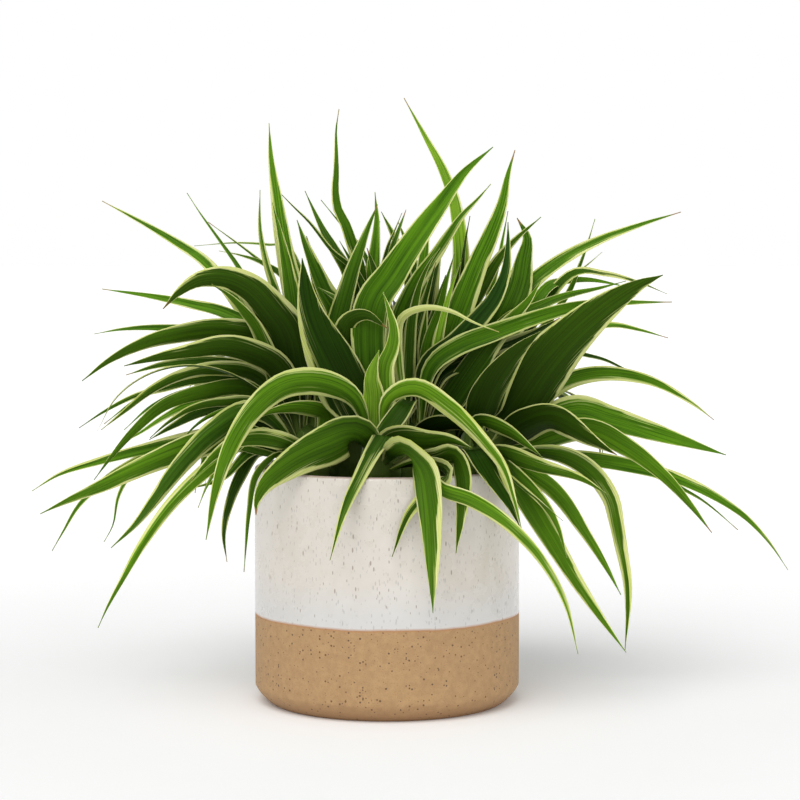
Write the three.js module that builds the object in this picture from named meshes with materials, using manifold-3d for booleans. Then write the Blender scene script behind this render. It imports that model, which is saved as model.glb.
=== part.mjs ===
// A spider plant in a cylindrical stoneware pot.
//
// Lengths are millimetres and +Z is up. The origin is the middle of the pot's
// underside, X runs to the viewer's right and Y away from the viewer.
//
// The pot is a turned profile. The soil fills it and has a plain hole for each
// crown. Every crown is one rosette: a short stub with its strap leaves fused
// on. A leaf is a thin folded ribbon along a midrib. The leaves that can be seen
// follow their midribs in the photograph, and the hidden ones are grown by rule.

import * as THREE from "three";
import { mergeVertices } from "three/addons/utils/BufferGeometryUtils.js";
import Module from "manifold-3d";

const wasm = await Module();
wasm.setup();

// ---------------------------------------------------------------- sizes, mm

const POT_RADIUS = 75;
const POT_HEIGHT = 133.7;
const POT_WALL = 4;
const POT_FLOOR = 6;
const POT_BASE_RADIUS = 66;
const POT_FOOT_HEIGHT = 10;
const POT_SIDES = 56;
const LIP_ROUND = 2;

const SOIL_TOP = 119;
const SOIL_DOME = 2.5;
const SOIL_SIDES = 36;
const GAP = 0.3;

const STUB_BOTTOM_RADIUS = 10;
const STUB_WAIST_RADIUS = 12.5;
const STUB_TOP_RADIUS = 8;
const ROOT_OFFSET = 6;
const ROOT_LOW = 133;
const ROOT_HIGH = 152;
const RIM_PASS = 7;
const STUB_TOP = 158;
const STUB_DEPTH = 26;
const STUB_SIDES = 9;

const BLADE_THICK = 0.7;
const TIP_WIDTH = 1.2;
const ROOT_SHARE = 0.3;
const RING_LENGTH = 60;
const RING_TURN = 36;
const WIDTH_ALLOWANCE = 1.15;
const NARROW = 9.5;
const CLEARANCE = 0.45;

// ------------------------------------------------- viewpoint of the photograph

// A pinhole camera fitted to the pot's rim, glaze line and foot. Distances are
// millimetres, and the picture is 800 pixels square.
const VIEW = {
  distance: 1300,
  height: 254.2,
  aside: 7.34,
  down: THREE.MathUtils.degToRad(3.68),
  focal_px: 2299,
  middle_px: 400,
};

// The point that a pixel shows, `near` millimetres in front of the pot's axis.
function sighted([px, py], near) {
  const right = (px - VIEW.middle_px) / VIEW.focal_px;
  const up = (VIEW.middle_px - py) / VIEW.focal_px;
  const cos = Math.cos(VIEW.down);
  const sin = Math.sin(VIEW.down);
  const ray = new THREE.Vector3(right, cos + up * sin, up * cos - sin);
  const reach = (VIEW.distance - near) / ray.y;
  return new THREE.Vector3(VIEW.aside, -VIEW.distance, VIEW.height).addScaledVector(ray, reach);
}

// ------------------------------------------------------------------ crowns

// Where each rosette stands on the soil.
const CROWNS = {
  front: [-4, -34],
  centre: [14, -2],
  left: [-44, -6],
  right: [50, -10],
  back_left: [-24, 34],
  back_right: [32, 30],
};

// Leaves seen in the photograph. `seen` holds pixels of the photograph along the
// midrib, from the crown to the tip, and `near` how far in front of the pot's
// axis the first and the last of them lie. `wide` is how wide the blade looks at its
// widest: folded and turned aside, it is really WIDTH_ALLOWANCE times that. A
// `turn` (degrees) takes the place of the random twist along the blade.
const LEAVES = {
  front: {
    broad_over_rim: {
      wide: 23,
      near: [64, 70],
      seen: [[352, 438], [330, 446], [307, 456], [285, 469], [266, 485], [257, 502], [256, 515]],
    },
    broad_cream: {
      wide: 27,
      near: [32, 27],
      seen: [[335, 372], [322, 345], [311, 318], [305, 290], [302, 258]],
    },
    broad_right: {
      wide: 18,
      near: [24, 10],
      seen: [[372, 308], [392, 275], [415, 240], [441, 204], [465, 172], [493, 147]],
    },
    arch_left: {
      wide: 14,
      near: [48, 66],
      seen: [[352, 398], [320, 383], [285, 386], [255, 409], [232, 445], [216, 490], [206, 540]],
    },
    front_droop: {
      wide: 19,
      near: [76, 90],
      seen: [[407, 457], [421, 474], [427, 502], [431, 550], [433, 614]],
    },
    light_arch: {
      wide: 10,
      near: [48, 84],
      seen: [[388, 400], [415, 388], [450, 409], [480, 438], [503, 468], [514, 500], [522, 531]],
    },
    short_droop: {
      wide: 13,
      near: [72, 84],
      seen: [[454, 457], [462, 476], [462, 503], [456, 553]],
    },
    toward_right: {
      wide: 15,
      near: [60, 74],
      seen: [[395, 440], [425, 441], [450, 440], [472, 448]],
    },
    white_margin: {
      wide: 10,
      near: [44, 88],
      seen: [[410, 405], [394, 424], [377, 448], [361, 477], [344, 513], [330, 561]],
    },
    over_heart: {
      wide: 18,
      near: [24, 34],
      seen: [[343, 350], [348, 322], [365, 315], [387, 328]],
    },
    behind_droop: {
      wide: 10,
      near: [79, 84],
      seen: [[448, 474], [425, 495], [408, 515], [392, 557]],
    },
    long_narrow: {
      wide: 8,
      near: [82, 78],
      seen: [[440, 489], [470, 500], [505, 522], [540, 558], [565, 602], [578, 654]],
    },
    heart: {
      wide: 10,
      near: [34, 30],
      seen: [[385, 368], [392, 348], [394, 330], [389, 310], [383, 292]],
    },
    heart_young: {
      wide: 12,
      near: [38, 40],
      seen: [[374, 396], [372, 376], [379, 350]],
    },
  },
  centre: {
    tall_twisted: {
      wide: 15,
      near: [-6, -14],
      seen: [[455, 325], [468, 290], [479, 262], [491, 235], [502, 205], [508, 175], [515, 150]],
    },
    blue_green: {
      wide: 13,
      near: [8, 2],
      seen: [[430, 368], [455, 345], [478, 320], [494, 300], [505, 275], [508, 250], [508, 222]],
    },
    dark_right: {
      wide: 13,
      near: [8, 16],
      seen: [[435, 375], [460, 360], [495, 348], [530, 335], [560, 318]],
    },
    long_right: {
      wide: 10,
      near: [12, 24],
      seen: [[431, 368], [455, 348], [495, 332], [535, 318], [575, 307], [615, 303], [672, 302]],
    },
    slender_right: {
      wide: 11,
      near: [-8, -18],
      seen: [
        [398, 330], [408, 300], [420, 278], [435, 257], [449, 235], [463, 215], [477, 200],
        [491, 184],
      ],
    },
    narrow_arch: {
      wide: 5,
      near: [20, 48],
      seen: [[398, 345], [402, 318], [424, 308], [450, 311], [475, 323], [499, 332]],
    },
    inner_left: {
      wide: 7,
      near: [4, 8],
      seen: [[410, 350], [413, 315], [420, 285], [430, 262], [440, 248]],
    },
    inner_right: {
      wide: 7,
      near: [0, 4],
      seen: [[428, 345], [440, 310], [447, 280], [455, 252]],
    },
    short_right: {
      wide: 15,
      near: [6, 2],
      seen: [[490, 345], [512, 319], [529, 300], [541, 281]],
      turn: 8,
    },
    pale_thin: {
      wide: 6,
      near: [2, -4],
      seen: [[438, 345], [446, 307], [453, 283], [461, 262]],
      turn: -5,
    },
    fill_left: {
      wide: 9,
      near: [-4, -10],
      seen: [[412, 345], [420, 315], [429, 285], [436, 262]],
      turn: 10,
    },
    low_fill: {
      wide: 14,
      near: [22, 36],
      seen: [[430, 430], [452, 424], [478, 434]],
      turn: 6,
    },
  },
  right: {
    very_broad: {
      wide: 29,
      near: [12, 20],
      seen: [[520, 405], [538, 378], [560, 350], [585, 325], [612, 303], [640, 285], [663, 275]],
    },
    broad_up: {
      wide: 20,
      near: [22, 30],
      seen: [[483, 415], [490, 395], [503, 372], [520, 350], [541, 331]],
    },
    broad_dark: {
      wide: 20,
      near: [24, 44],
      seen: [[530, 425], [552, 420], [590, 440], [617, 455]],
    },
    level_long: {
      wide: 16,
      near: [4, -10],
      seen: [[575, 411], [610, 419], [650, 431], [695, 445], [726, 455]],
    },
    arch_down: {
      wide: 13,
      near: [16, 30],
      seen: [[585, 430], [625, 447], [660, 473], [690, 505], [712, 533]],
    },
    rim_dark: {
      wide: 14,
      near: [58, 72],
      seen: [[478, 452], [495, 480], [510, 505], [520, 527]],
    },
    hang_inner: {
      wide: 13,
      near: [38, 56],
      seen: [[500, 465], [525, 500], [548, 538], [575, 582], [600, 618], [626, 653]],
    },
    arch_back: {
      wide: 10,
      near: [-16, -40],
      seen: [[560, 385], [600, 374], [650, 381], [690, 402], [714, 420]],
    },
    twisted_hang: {
      wide: 10,
      near: [26, 16],
      seen: [
        [560, 455], [590, 471], [610, 498], [616, 522], [621, 548], [627, 580], [628, 606],
        [625, 650],
      ],
    },
    longest: {
      wide: 8,
      near: [-4, -28],
      seen: [[570, 457], [620, 464], [683, 481], [740, 513], [768, 541], [788, 570]],
    },
    front_level: {
      wide: 10,
      near: [44, 66],
      seen: [[500, 453], [540, 466], [580, 478], [608, 495]],
    },
    front_short: {
      wide: 10,
      near: [36, 58],
      seen: [[480, 423], [505, 430], [527, 445], [543, 458]],
    },
    hang_outer: {
      wide: 9,
      near: [30, 34],
      seen: [[520, 467], [555, 492], [583, 530], [605, 565], [621, 595]],
    },
    hang_short: {
      wide: 8,
      near: [46, 66],
      seen: [[515, 473], [545, 505], [558, 528], [567, 558]],
    },
    hang_thin: {
      wide: 4,
      near: [54, 76],
      seen: [[508, 475], [538, 500], [563, 521]],
    },
  },
  back_right: {
    hooked: {
      wide: 23,
      near: [-24, -40],
      seen: [[508, 312], [519, 286], [524, 260], [527, 237], [517, 218]],
    },
    fill_middle: {
      wide: 14,
      near: [-14, -20],
      seen: [[462, 335], [458, 305], [456, 282], [462, 258]],
      turn: -8,
    },
    low_behind: {
      wide: 15,
      near: [-44, -58],
      seen: [[452, 440], [480, 430], [515, 432], [545, 445]],
      turn: 5,
    },
    tall_light: {
      wide: 10,
      near: [-30, -52],
      seen: [[458, 300], [461, 262], [459, 230], [454, 200], [442, 168], [426, 138], [404, 98]],
    },
    far_right: {
      wide: 10,
      near: [-34, -66],
      seen: [[525, 292], [545, 272], [570, 255], [600, 240], [640, 225], [681, 212]],
    },
    reach_right: {
      wide: 8,
      near: [-22, -34],
      seen: [[505, 322], [535, 308], [565, 296], [600, 288], [626, 281]],
    },
    level_right: {
      wide: 8,
      near: [-30, -74],
      seen: [[545, 290], [561, 282], [590, 280], [628, 287]],
    },
    bow_right: {
      wide: 7,
      near: [-40, -90],
      seen: [[570, 275], [605, 274], [640, 283], [667, 294]],
    },
    low_right: {
      wide: 7,
      near: [-26, -60],
      seen: [[590, 330], [612, 325], [640, 330], [668, 338]],
    },
    tip_up: {
      wide: 11,
      near: [-26, -58],
      seen: [[468, 312], [483, 285], [499, 258], [517, 238], [541, 217]],
    },
    thin_up: {
      wide: 5,
      near: [-44, -70],
      seen: [[567, 295], [578, 270], [587, 245], [595, 219]],
    },
    thin_hook: {
      wide: 5,
      near: [-40, -60],
      seen: [[560, 285], [583, 270], [602, 253]],
    },
    thin_low: {
      wide: 4,
      near: [-22, -50],
      seen: [[560, 350], [585, 355], [605, 360], [629, 371], [655, 379]],
    },
    thread_right: {
      wide: 4,
      near: [-36, -70],
      seen: [[640, 470], [690, 493], [710, 506], [738, 530]],
    },
    small_one: {
      wide: 5,
      near: [-30, -50],
      seen: [[463, 260], [466, 238], [470, 216]],
    },
    small_two: {
      wide: 5,
      near: [-36, -60],
      seen: [[498, 262], [503, 238], [508, 211]],
    },
  },
  back_left: {
    tall_cream: {
      wide: 13,
      near: [-26, -44],
      seen: [[295, 300], [285, 255], [280, 225], [275, 190], [271, 160], [269, 123]],
    },
    dark_up: {
      wide: 15,
      near: [-20, -30],
      seen: [[338, 315], [325, 290], [313, 262], [304, 240], [297, 220]],
    },
    straight_up: {
      wide: 12,
      near: [-34, -46],
      seen: [[372, 285], [375, 250], [377, 220], [375, 192]],
    },
    curled: {
      wide: 8,
      near: [-30, -36],
      seen: [
        [360, 285], [358, 265], [352, 245], [344, 222], [338, 211], [335, 192], [336, 171],
        [336, 150], [336, 130], [339, 109],
      ],
    },
    leaning: {
      wide: 9,
      near: [-40, -70],
      seen: [[350, 280], [334, 249], [323, 230], [314, 211], [305, 191]],
    },
    far_left: {
      wide: 9,
      near: [-46, -80],
      seen: [[230, 292], [205, 262], [180, 245], [150, 227], [102, 201]],
    },
    edge_left: {
      wide: 7,
      near: [-30, -54],
      seen: [[278, 330], [277, 300], [266, 262], [260, 230], [260, 190]],
    },
    low_left: {
      wide: 6,
      near: [-40, -76],
      seen: [[290, 285], [264, 264], [239, 255], [219, 251]],
    },
    thin_high: {
      wide: 4,
      near: [-40, -62],
      seen: [[358, 285], [331, 255], [310, 227], [292, 208], [274, 188]],
    },
    thin_mid: {
      wide: 4,
      near: [-50, -84],
      seen: [[370, 272], [355, 240], [340, 223], [321, 200]],
    },
    thin_out: {
      wide: 4,
      near: [-40, -70],
      seen: [[258, 300], [237, 265], [220, 241], [200, 213], [187, 193]],
    },
    thin_flat: {
      wide: 4,
      near: [-50, -96],
      seen: [[290, 250], [268, 245], [235, 243], [194, 246]],
    },
    thin_pale: {
      wide: 3.5,
      near: [-44, -88],
      seen: [[285, 280], [264, 264], [241, 246], [208, 222]],
    },
    small_one: {
      wide: 5,
      near: [-30, -44],
      seen: [[387, 250], [395, 230], [402, 213]],
    },
    stripe_back: {
      wide: 5,
      near: [-24, -34],
      seen: [[240, 386], [206, 380], [170, 384], [136, 400], [104, 424]],
    },
  },
  left: {
    broad_arch: {
      wide: 22,
      near: [6, 12],
      seen: [[288, 338], [270, 310], [249, 288], [225, 278], [198, 280], [178, 293], [163, 309]],
    },
    blue_broad: {
      wide: 13,
      near: [24, 56],
      seen: [[255, 412], [215, 432], [180, 467], [155, 500], [135, 525], [111, 548]],
    },
    level_broad: {
      wide: 14,
      near: [-6, -10],
      seen: [[275, 345], [245, 333], [210, 330], [175, 335], [145, 343], [110, 360], [82, 381]],
    },
    level_dark: {
      wide: 14,
      near: [12, 24],
      seen: [[280, 370], [252, 352], [222, 346], [190, 351], [155, 358], [124, 366]],
    },
    long_low: {
      wide: 14,
      near: [20, 34],
      seen: [[250, 435], [200, 445], [150, 464], [100, 487], [65, 502], [40, 514]],
    },
    long_hang: {
      wide: 8,
      near: [34, 66],
      seen: [[255, 435], [215, 463], [175, 500], [145, 540], [122, 580], [106, 610], [98, 628]],
    },
    olive_rim: {
      wide: 11,
      near: [42, 50],
      seen: [[290, 445], [262, 438], [235, 442], [212, 458], [190, 482]],
    },
    up_left: {
      wide: 11,
      near: [0, -16],
      seen: [[257, 330], [244, 312], [228, 295], [211, 284]],
    },
    dark_short: {
      wide: 10,
      near: [28, 42],
      seen: [[325, 415], [300, 408], [270, 412], [255, 420]],
    },
    reach_high: {
      wide: 8,
      near: [-16, -50],
      seen: [[260, 335], [225, 313], [190, 304], [150, 296], [102, 289]],
    },
    reach_left: {
      wide: 7,
      near: [-20, -64],
      seen: [[250, 352], [205, 333], [165, 328], [125, 329], [94, 334]],
    },
    bow_left: {
      wide: 9,
      near: [-14, -36],
      seen: [[250, 372], [205, 362], [165, 364], [126, 375]],
    },
    bow_low: {
      wide: 9,
      near: [0, 6],
      seen: [[260, 378], [220, 369], [180, 376], [150, 391], [125, 411], [101, 430]],
    },
    thin_bow: {
      wide: 6,
      near: [-24, -46],
      seen: [[235, 380], [195, 380], [165, 388], [135, 396], [105, 411], [79, 428]],
    },
    arch_down: {
      wide: 9,
      near: [6, 30],
      seen: [[250, 390], [205, 392], [165, 405], [135, 430], [112, 456], [94, 480]],
    },
    arch_short: {
      wide: 7,
      near: [-10, -30],
      seen: [[225, 398], [190, 405], [165, 417], [140, 433], [119, 445]],
    },
    olive_left: {
      wide: 11,
      near: [-4, -20],
      seen: [[240, 403], [205, 410], [175, 425], [149, 440]],
    },
    low_left: {
      wide: 8,
      near: [-8, -34],
      seen: [[240, 432], [200, 437], [150, 448], [100, 461], [60, 474], [32, 491]],
    },
    hang_left: {
      wide: 6,
      near: [-20, -50],
      seen: [[175, 448], [120, 470], [81, 503], [63, 532], [52, 551]],
    },
    hang_back: {
      wide: 5,
      near: [-24, -40],
      seen: [[180, 445], [135, 470], [119, 495], [113, 525], [104, 542]],
    },
    side_dark: {
      wide: 8,
      near: [-20, -24],
      seen: [[258, 452], [240, 478], [228, 510], [224, 535], [227, 562]],
    },
    rim_thin: {
      wide: 4,
      near: [40, 44],
      seen: [[275, 456], [256, 476], [249, 512], [246, 545], [244, 572]],
    },
    side_short: {
      wide: 6,
      near: [-4, 0],
      seen: [[255, 450], [223, 478], [190, 489]],
    },
    side_thin: {
      wide: 4,
      near: [-12, -30],
      seen: [[214, 446], [200, 470], [195, 493]],
    },
    stripe_high: {
      wide: 5,
      near: [4, -8],
      seen: [[258, 396], [222, 390], [186, 392], [152, 406], [124, 430]],
    },
    stripe_middle: {
      wide: 6,
      near: [14, 10],
      seen: [[256, 404], [222, 402], [190, 409], [166, 424], [150, 438]],
    },
    stripe_low: {
      wide: 4,
      near: [20, 18],
      seen: [[262, 412], [236, 409], [212, 415], [193, 428], [180, 444]],
    },
    stripe_down: {
      wide: 5,
      near: [30, 44],
      seen: [[262, 432], [240, 444], [222, 462], [207, 486], [198, 508]],
    },
  },
};

// Hidden leaves, mostly at the back: how many each crown bears, the middle of
// the arc that they fan over (degrees from +X) and half its width.
const HIDDEN = {
  back_left: { count: 9, toward: 108, spread: 58 },
  back_right: { count: 9, toward: 72, spread: 58 },
  centre: { count: 2, toward: 90, spread: 60 },
  left: { count: 2, toward: 120, spread: 40 },
  right: { count: 2, toward: 62, spread: 38 },
};
const HIDDEN_LEAF = { long: [105, 185], wide: [8, 15], rise: [50, 66], bow: [105, 165] };

// Young leaves that stand in the heart of each rosette: their count, and the same angles.
const INNER = {
  front: { count: 2, toward: 95, spread: 60 },
  centre: { count: 3, toward: 90, spread: 110 },
  left: { count: 3, toward: 95, spread: 80 },
  right: { count: 3, toward: 85, spread: 80 },
  back_left: { count: 2, toward: 100, spread: 120 },
  back_right: { count: 2, toward: 80, spread: 120 },
};
const INNER_LEAF = { long: [75, 105], wide: [10, 15], rise: [74, 86], bow: [25, 70] };

// Grown leaves that stand nearly upright behind the seen ones and close the
// middle of the plant.
const UPRIGHT = {
  centre: { count: 3, toward: 95, spread: 50 },
  left: { count: 2, toward: 80, spread: 60 },
  right: { count: 2, toward: 95, spread: 50 },
  back_left: { count: 4, toward: 90, spread: 95 },
  back_right: { count: 4, toward: 90, spread: 95 },
};
const UPRIGHT_LEAF = { long: [95, 140], wide: [10, 17], rise: [78, 88], bow: [8, 36] };
const GROWN_POINTS = 7;

// ------------------------------------------------------------ seeded draws

// The same leaves grow each time: a linear congruential generator, 0 to 1.
let seed = 20240611;
function draw(low = 0, high = 1) {
  seed = (Math.imul(seed, 1664525) + 1013904223) >>> 0;
  return low + (high - low) * (seed / 4294967296);
}

// --------------------------------------------------------------- solids

// A closed geometry with only shared positions, as a solid that can be joined or cut.
function solid(geometry) {
  const bare = geometry.clone();
  bare.deleteAttribute("normal");
  bare.deleteAttribute("uv");
  const merged = mergeVertices(bare, 1e-4);
  return new wasm.Manifold(
    new wasm.Mesh({
      numProp: 3,
      vertProperties: merged.attributes.position.array,
      triVerts: new Uint32Array(merged.index.array),
    }),
  );
}

// A solid as a geometry again.
function geometryOf(body) {
  const mesh = body.getMesh();
  const at = new Float32Array(mesh.numVert * 3);
  for (let i = 0; i < mesh.numVert; i += 1) {
    at.set(mesh.vertProperties.subarray(i * mesh.numProp, i * mesh.numProp + 3), i * 3);
  }
  const geometry = new THREE.BufferGeometry();
  geometry.setAttribute("position", new THREE.BufferAttribute(at, 3));
  geometry.setIndex(new THREE.BufferAttribute(new Uint32Array(mesh.triVerts), 1));
  geometry.computeVertexNormals();
  return geometry;
}

// A profile of [radius, height] pairs, turned about the Z axis.
function turned(profile, sides) {
  const points = profile.map(([radius, height]) => new THREE.Vector2(radius, height));
  return new THREE.LatheGeometry(points, sides).rotateX(Math.PI / 2);
}

// ------------------------------------------------------------ pot and soil

// Quarter of a circle in the profile, from angle `from` to angle `to`.
function round(radius, height, size, from, to, steps) {
  const points = [];
  for (let i = 0; i <= steps; i += 1) {
    const angle = THREE.MathUtils.degToRad(from + ((to - from) * i) / steps);
    points.push([radius + size * Math.cos(angle), height + size * Math.sin(angle)]);
  }
  return points;
}

const INNER_RADIUS = POT_RADIUS - POT_WALL;
const pot = turned(
  [
    [0, 0],
    [POT_BASE_RADIUS, 0],
    [POT_BASE_RADIUS + 2.4, 1],
    [POT_RADIUS - 0.8, POT_FOOT_HEIGHT - 2.2],
    [POT_RADIUS, POT_FOOT_HEIGHT],
    ...round(POT_RADIUS - LIP_ROUND, POT_HEIGHT - LIP_ROUND, LIP_ROUND, 0, 180, 6),
    [INNER_RADIUS, POT_FLOOR],
    [0, POT_FLOOR],
  ],
  POT_SIDES,
);

// The soil keeps a small gap to the pot. Each crown stands in a plain hole in it.
function soilBody() {
  const radius = INNER_RADIUS - GAP;
  const bottom = POT_FLOOR + GAP;
  let body = solid(
    turned(
      [
        [0, bottom],
        [radius, bottom],
        [radius, SOIL_TOP],
        [radius * 0.5, SOIL_TOP + SOIL_DOME * 0.8],
        [0, SOIL_TOP + SOIL_DOME],
      ],
      SOIL_SIDES,
    ),
  );
  for (const [x, y] of Object.values(CROWNS)) {
    const radiusOfHole = STUB_BOTTOM_RADIUS + GAP * 1.4;
    const hole = new THREE.CylinderGeometry(radiusOfHole, radiusOfHole, STUB_DEPTH + 20, STUB_SIDES);
    hole.rotateX(Math.PI / 2);
    hole.translate(x, y, SOIL_TOP + 10 - STUB_DEPTH / 2);
    body = body.subtract(solid(hole));
  }
  return body;
}

// ----------------------------------------------------------------- leaves

// A crown's stub: it stands in its hole and narrows towards the top.
function stub([x, y]) {
  const bottom = SOIL_TOP - STUB_DEPTH + GAP;
  return solid(
    turned(
      [
        [0, bottom],
        [STUB_BOTTOM_RADIUS, bottom],
        [STUB_BOTTOM_RADIUS, SOIL_TOP + 2],
        [STUB_WAIST_RADIUS, ROOT_LOW],
        [STUB_TOP_RADIUS, ROOT_HIGH],
        [0, STUB_TOP],
      ],
      STUB_SIDES,
    ).translate(x, y, 0),
  );
}

// Midrib of a leaf that is seen. `bend` moves its points along the line of
// sight, more towards the tip, so that it still looks the same in the photograph.
function seenMidrib(leaf, root, bend) {
  const last = leaf.seen.length - 1;
  const points = [root];
  leaf.seen.forEach((pixel, i) => {
    const share = i / last;
    const near = THREE.MathUtils.lerp(leaf.near[0], leaf.near[1], share);
    points.push(sighted(pixel, near + bend * ((i + 1) / (last + 1)) ** 1.5));
  });
  return points;
}

// Midrib of a hidden leaf: it leaves the crown at an angle and arches over.
function grownMidrib(leaf, root, bend) {
  const points = [root];
  const heading = THREE.MathUtils.degToRad(leaf.toward + bend);
  const step = leaf.long / GROWN_POINTS;
  let at = root;
  for (let i = 0; i < GROWN_POINTS; i += 1) {
    const share = (i + 0.5) / GROWN_POINTS;
    const slope = THREE.MathUtils.degToRad(leaf.rise - leaf.bow * share ** 1.3);
    const flat = step * Math.cos(slope);
    at = new THREE.Vector3(
      at.x + flat * Math.cos(heading),
      at.y + flat * Math.sin(heading),
      at.z + step * Math.sin(slope),
    );
    points.push(at);
  }
  return points;
}

// Share of the greatest width at `u` from the root (0) to the tip (1).
function widthShare(u) {
  const swell = THREE.MathUtils.smoothstep(u, 0, 0.32);
  const taper = Math.max(0, (u - 0.34) / 0.66) ** 1.4;
  return (ROOT_SHARE + (1 - ROOT_SHARE) * swell) * (1 - taper);
}

// Angle between each half of the blade and its plane: folded at the root, nearly flat further out.
function foldAngle(u) {
  return THREE.MathUtils.degToRad(12 + 34 * (1 - THREE.MathUtils.smoothstep(u, 0, 0.3)));
}

const UP = new THREE.Vector3(0, 0, 1);
const TO_VIEWER = new THREE.Vector3(0, -1, 0);
const FACING_STATIONS = 20;

// How far the blade turns about its midrib at equal steps along it. Leaf blades
// twist towards the light, and here also towards the viewer by the share `face`.
function facing(curve, side, face, twist) {
  const turns = [];
  for (let i = 0; i <= FACING_STATIONS; i += 1) {
    const along = curve.getTangentAt(i / FACING_STATIONS);
    const top = new THREE.Vector3().crossVectors(along, side).normalize();
    const across = new THREE.Vector3().crossVectors(along, top);
    let turn = Math.atan2(across.dot(TO_VIEWER), top.dot(TO_VIEWER));
    const before = i ? turns[i - 1].turn : 0;
    turn -= Math.PI * Math.round((turn - before) / Math.PI);
    turns.push({ turn, weight: 1 - along.dot(TO_VIEWER) ** 2 });
  }
  let angles = turns.map(({ turn, weight }, i) => face * turn * weight + (twist * i) / FACING_STATIONS);
  for (let pass = 0; pass < 3; pass += 1) {
    angles = angles.map((angle, i) => {
      const before = angles[Math.max(0, i - 1)];
      const after = angles[Math.min(FACING_STATIONS, i + 1)];
      return (before + 2 * angle + after) / 4;
    });
  }
  return angles;
}

// The blade's frame at `u` along the midrib: the point, and the directions
// across the blade and out of its upper face.
function frameAt(curve, side, angles, u) {
  const along = curve.getTangentAt(u);
  const top = new THREE.Vector3().crossVectors(along, side).normalize();
  const place = u * FACING_STATIONS;
  const cell = Math.min(FACING_STATIONS - 1, Math.floor(place));
  const angle = THREE.MathUtils.lerp(angles[cell], angles[cell + 1], place - cell);
  top.applyAxisAngle(along, angle);
  const across = new THREE.Vector3().crossVectors(along, top);
  return { at: curve.getPointAt(u), across, top };
}

// A leaf's midrib and blade frame, ready to be cut into rings.
function prepare(leaf, points) {
  const curve = new THREE.CatmullRomCurve3(points, false, "centripetal");
  const root = points[0];
  const tip = points[points.length - 1];
  const heading = new THREE.Vector3(tip.x - root.x, tip.y - root.y, 0).normalize();
  const side = new THREE.Vector3().crossVectors(UP, heading);
  const angles = facing(curve, side, leaf.face, leaf.twist);
  return { leaf, curve, side, angles, length: curve.getLength() };
}

// A blade gets more rings the longer it is and the more it bends.
function ringCount(curve, length, narrow) {
  let turn = 0;
  for (let i = 0; i < FACING_STATIONS; i += 1) {
    const here = curve.getTangentAt(i / FACING_STATIONS);
    turn += here.angleTo(curve.getTangentAt((i + 1) / FACING_STATIONS));
  }
  const wanted = length / RING_LENGTH + THREE.MathUtils.radToDeg(turn) / RING_TURN;
  return THREE.MathUtils.clamp(Math.round(wanted), narrow ? 3 : 4, narrow ? 5 : 7);
}

// The closed blade, `extra` fatter on every side. Each ring has the points of
// the upper face and then those of the lower one, and each strip between two
// rings is split the same way on both faces.
function blade({ leaf, curve, side, angles, length }, extra = 0) {
  const narrow = leaf.wide < NARROW;
  const rings = ringCount(curve, length, narrow);
  const columns = narrow ? [-1, 1] : [-1, 0, 1];
  const size = columns.length * 2;
  const at = [];
  for (let i = 0; i <= rings; i += 1) {
    const u = i / rings;
    const frame = frameAt(curve, side, angles, u);
    const half = Math.max(TIP_WIDTH, leaf.wide * WIDTH_ALLOWANCE * widthShare(u)) / 2 + extra;
    const fold = foldAngle(u);
    for (const [face, order] of [[1, columns], [-1, [...columns].reverse()]]) {
      for (const column of order) {
        const out = Math.cos(fold) * half * column;
        const lift = Math.sin(fold) * half * Math.abs(column) + face * (BLADE_THICK / 2 + extra);
        const point = frame.at.clone().addScaledVector(frame.across, out).addScaledVector(frame.top, lift);
        at.push(point.x, point.y, point.z);
      }
    }
  }
  const faces = [];
  const quad = (a, b, c, d) => faces.push(a, b, c, a, c, d);
  for (let i = 0; i < rings; i += 1) {
    for (let j = 0; j < size; j += 1) {
      const k = (j + 1) % size;
      const here = i * size;
      const next = here + size;
      // The lower face is split the mirrored way, so that both faces bend alike.
      if (j < columns.length) quad(here + j, here + k, next + k, next + j);
      else quad(here + k, next + k, next + j, here + j);
    }
  }
  const end = rings * size;
  for (let j = 0; j < columns.length - 1; j += 1) {
    const k = size - 1 - j;
    quad(j, k, k - 1, j + 1);
    quad(end + j, end + j + 1, end + k - 1, end + k);
  }
  const geometry = new THREE.BufferGeometry();
  geometry.setAttribute("position", new THREE.Float32BufferAttribute(at, 3));
  geometry.setIndex(faces);
  const body = solid(geometry);
  return body;
}

// ---------------------------------------------------------------- rosettes

const BENDS = [0, 5, -5, 10, -10, 16, -16, 24, -24, 34, -34];
const LIFTS = [0, 2, 4, 7, 10];
const CORE_RADIUS = 15;
const names = Object.keys(CROWNS);

// Leaves grown by rule: the golden section spreads their headings over the fan.
function grownLeaves(crown, kind, { count, toward, spread }, leaf, face) {
  const grown = [];
  for (let i = 0; i < count; i += 1) {
    const share = (i * 0.618034 + 0.31) % 1;
    grown.push({
      crown,
      name: kind + "_" + i,
      toward: toward + spread * (2 * share - 1),
      long: draw(...leaf.long),
      wide: draw(...leaf.wide),
      rise: draw(...leaf.rise),
      bow: draw(...leaf.bow),
      twist: THREE.MathUtils.degToRad(draw(-40, 40)),
      face,
    });
  }
  return grown;
}

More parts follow.
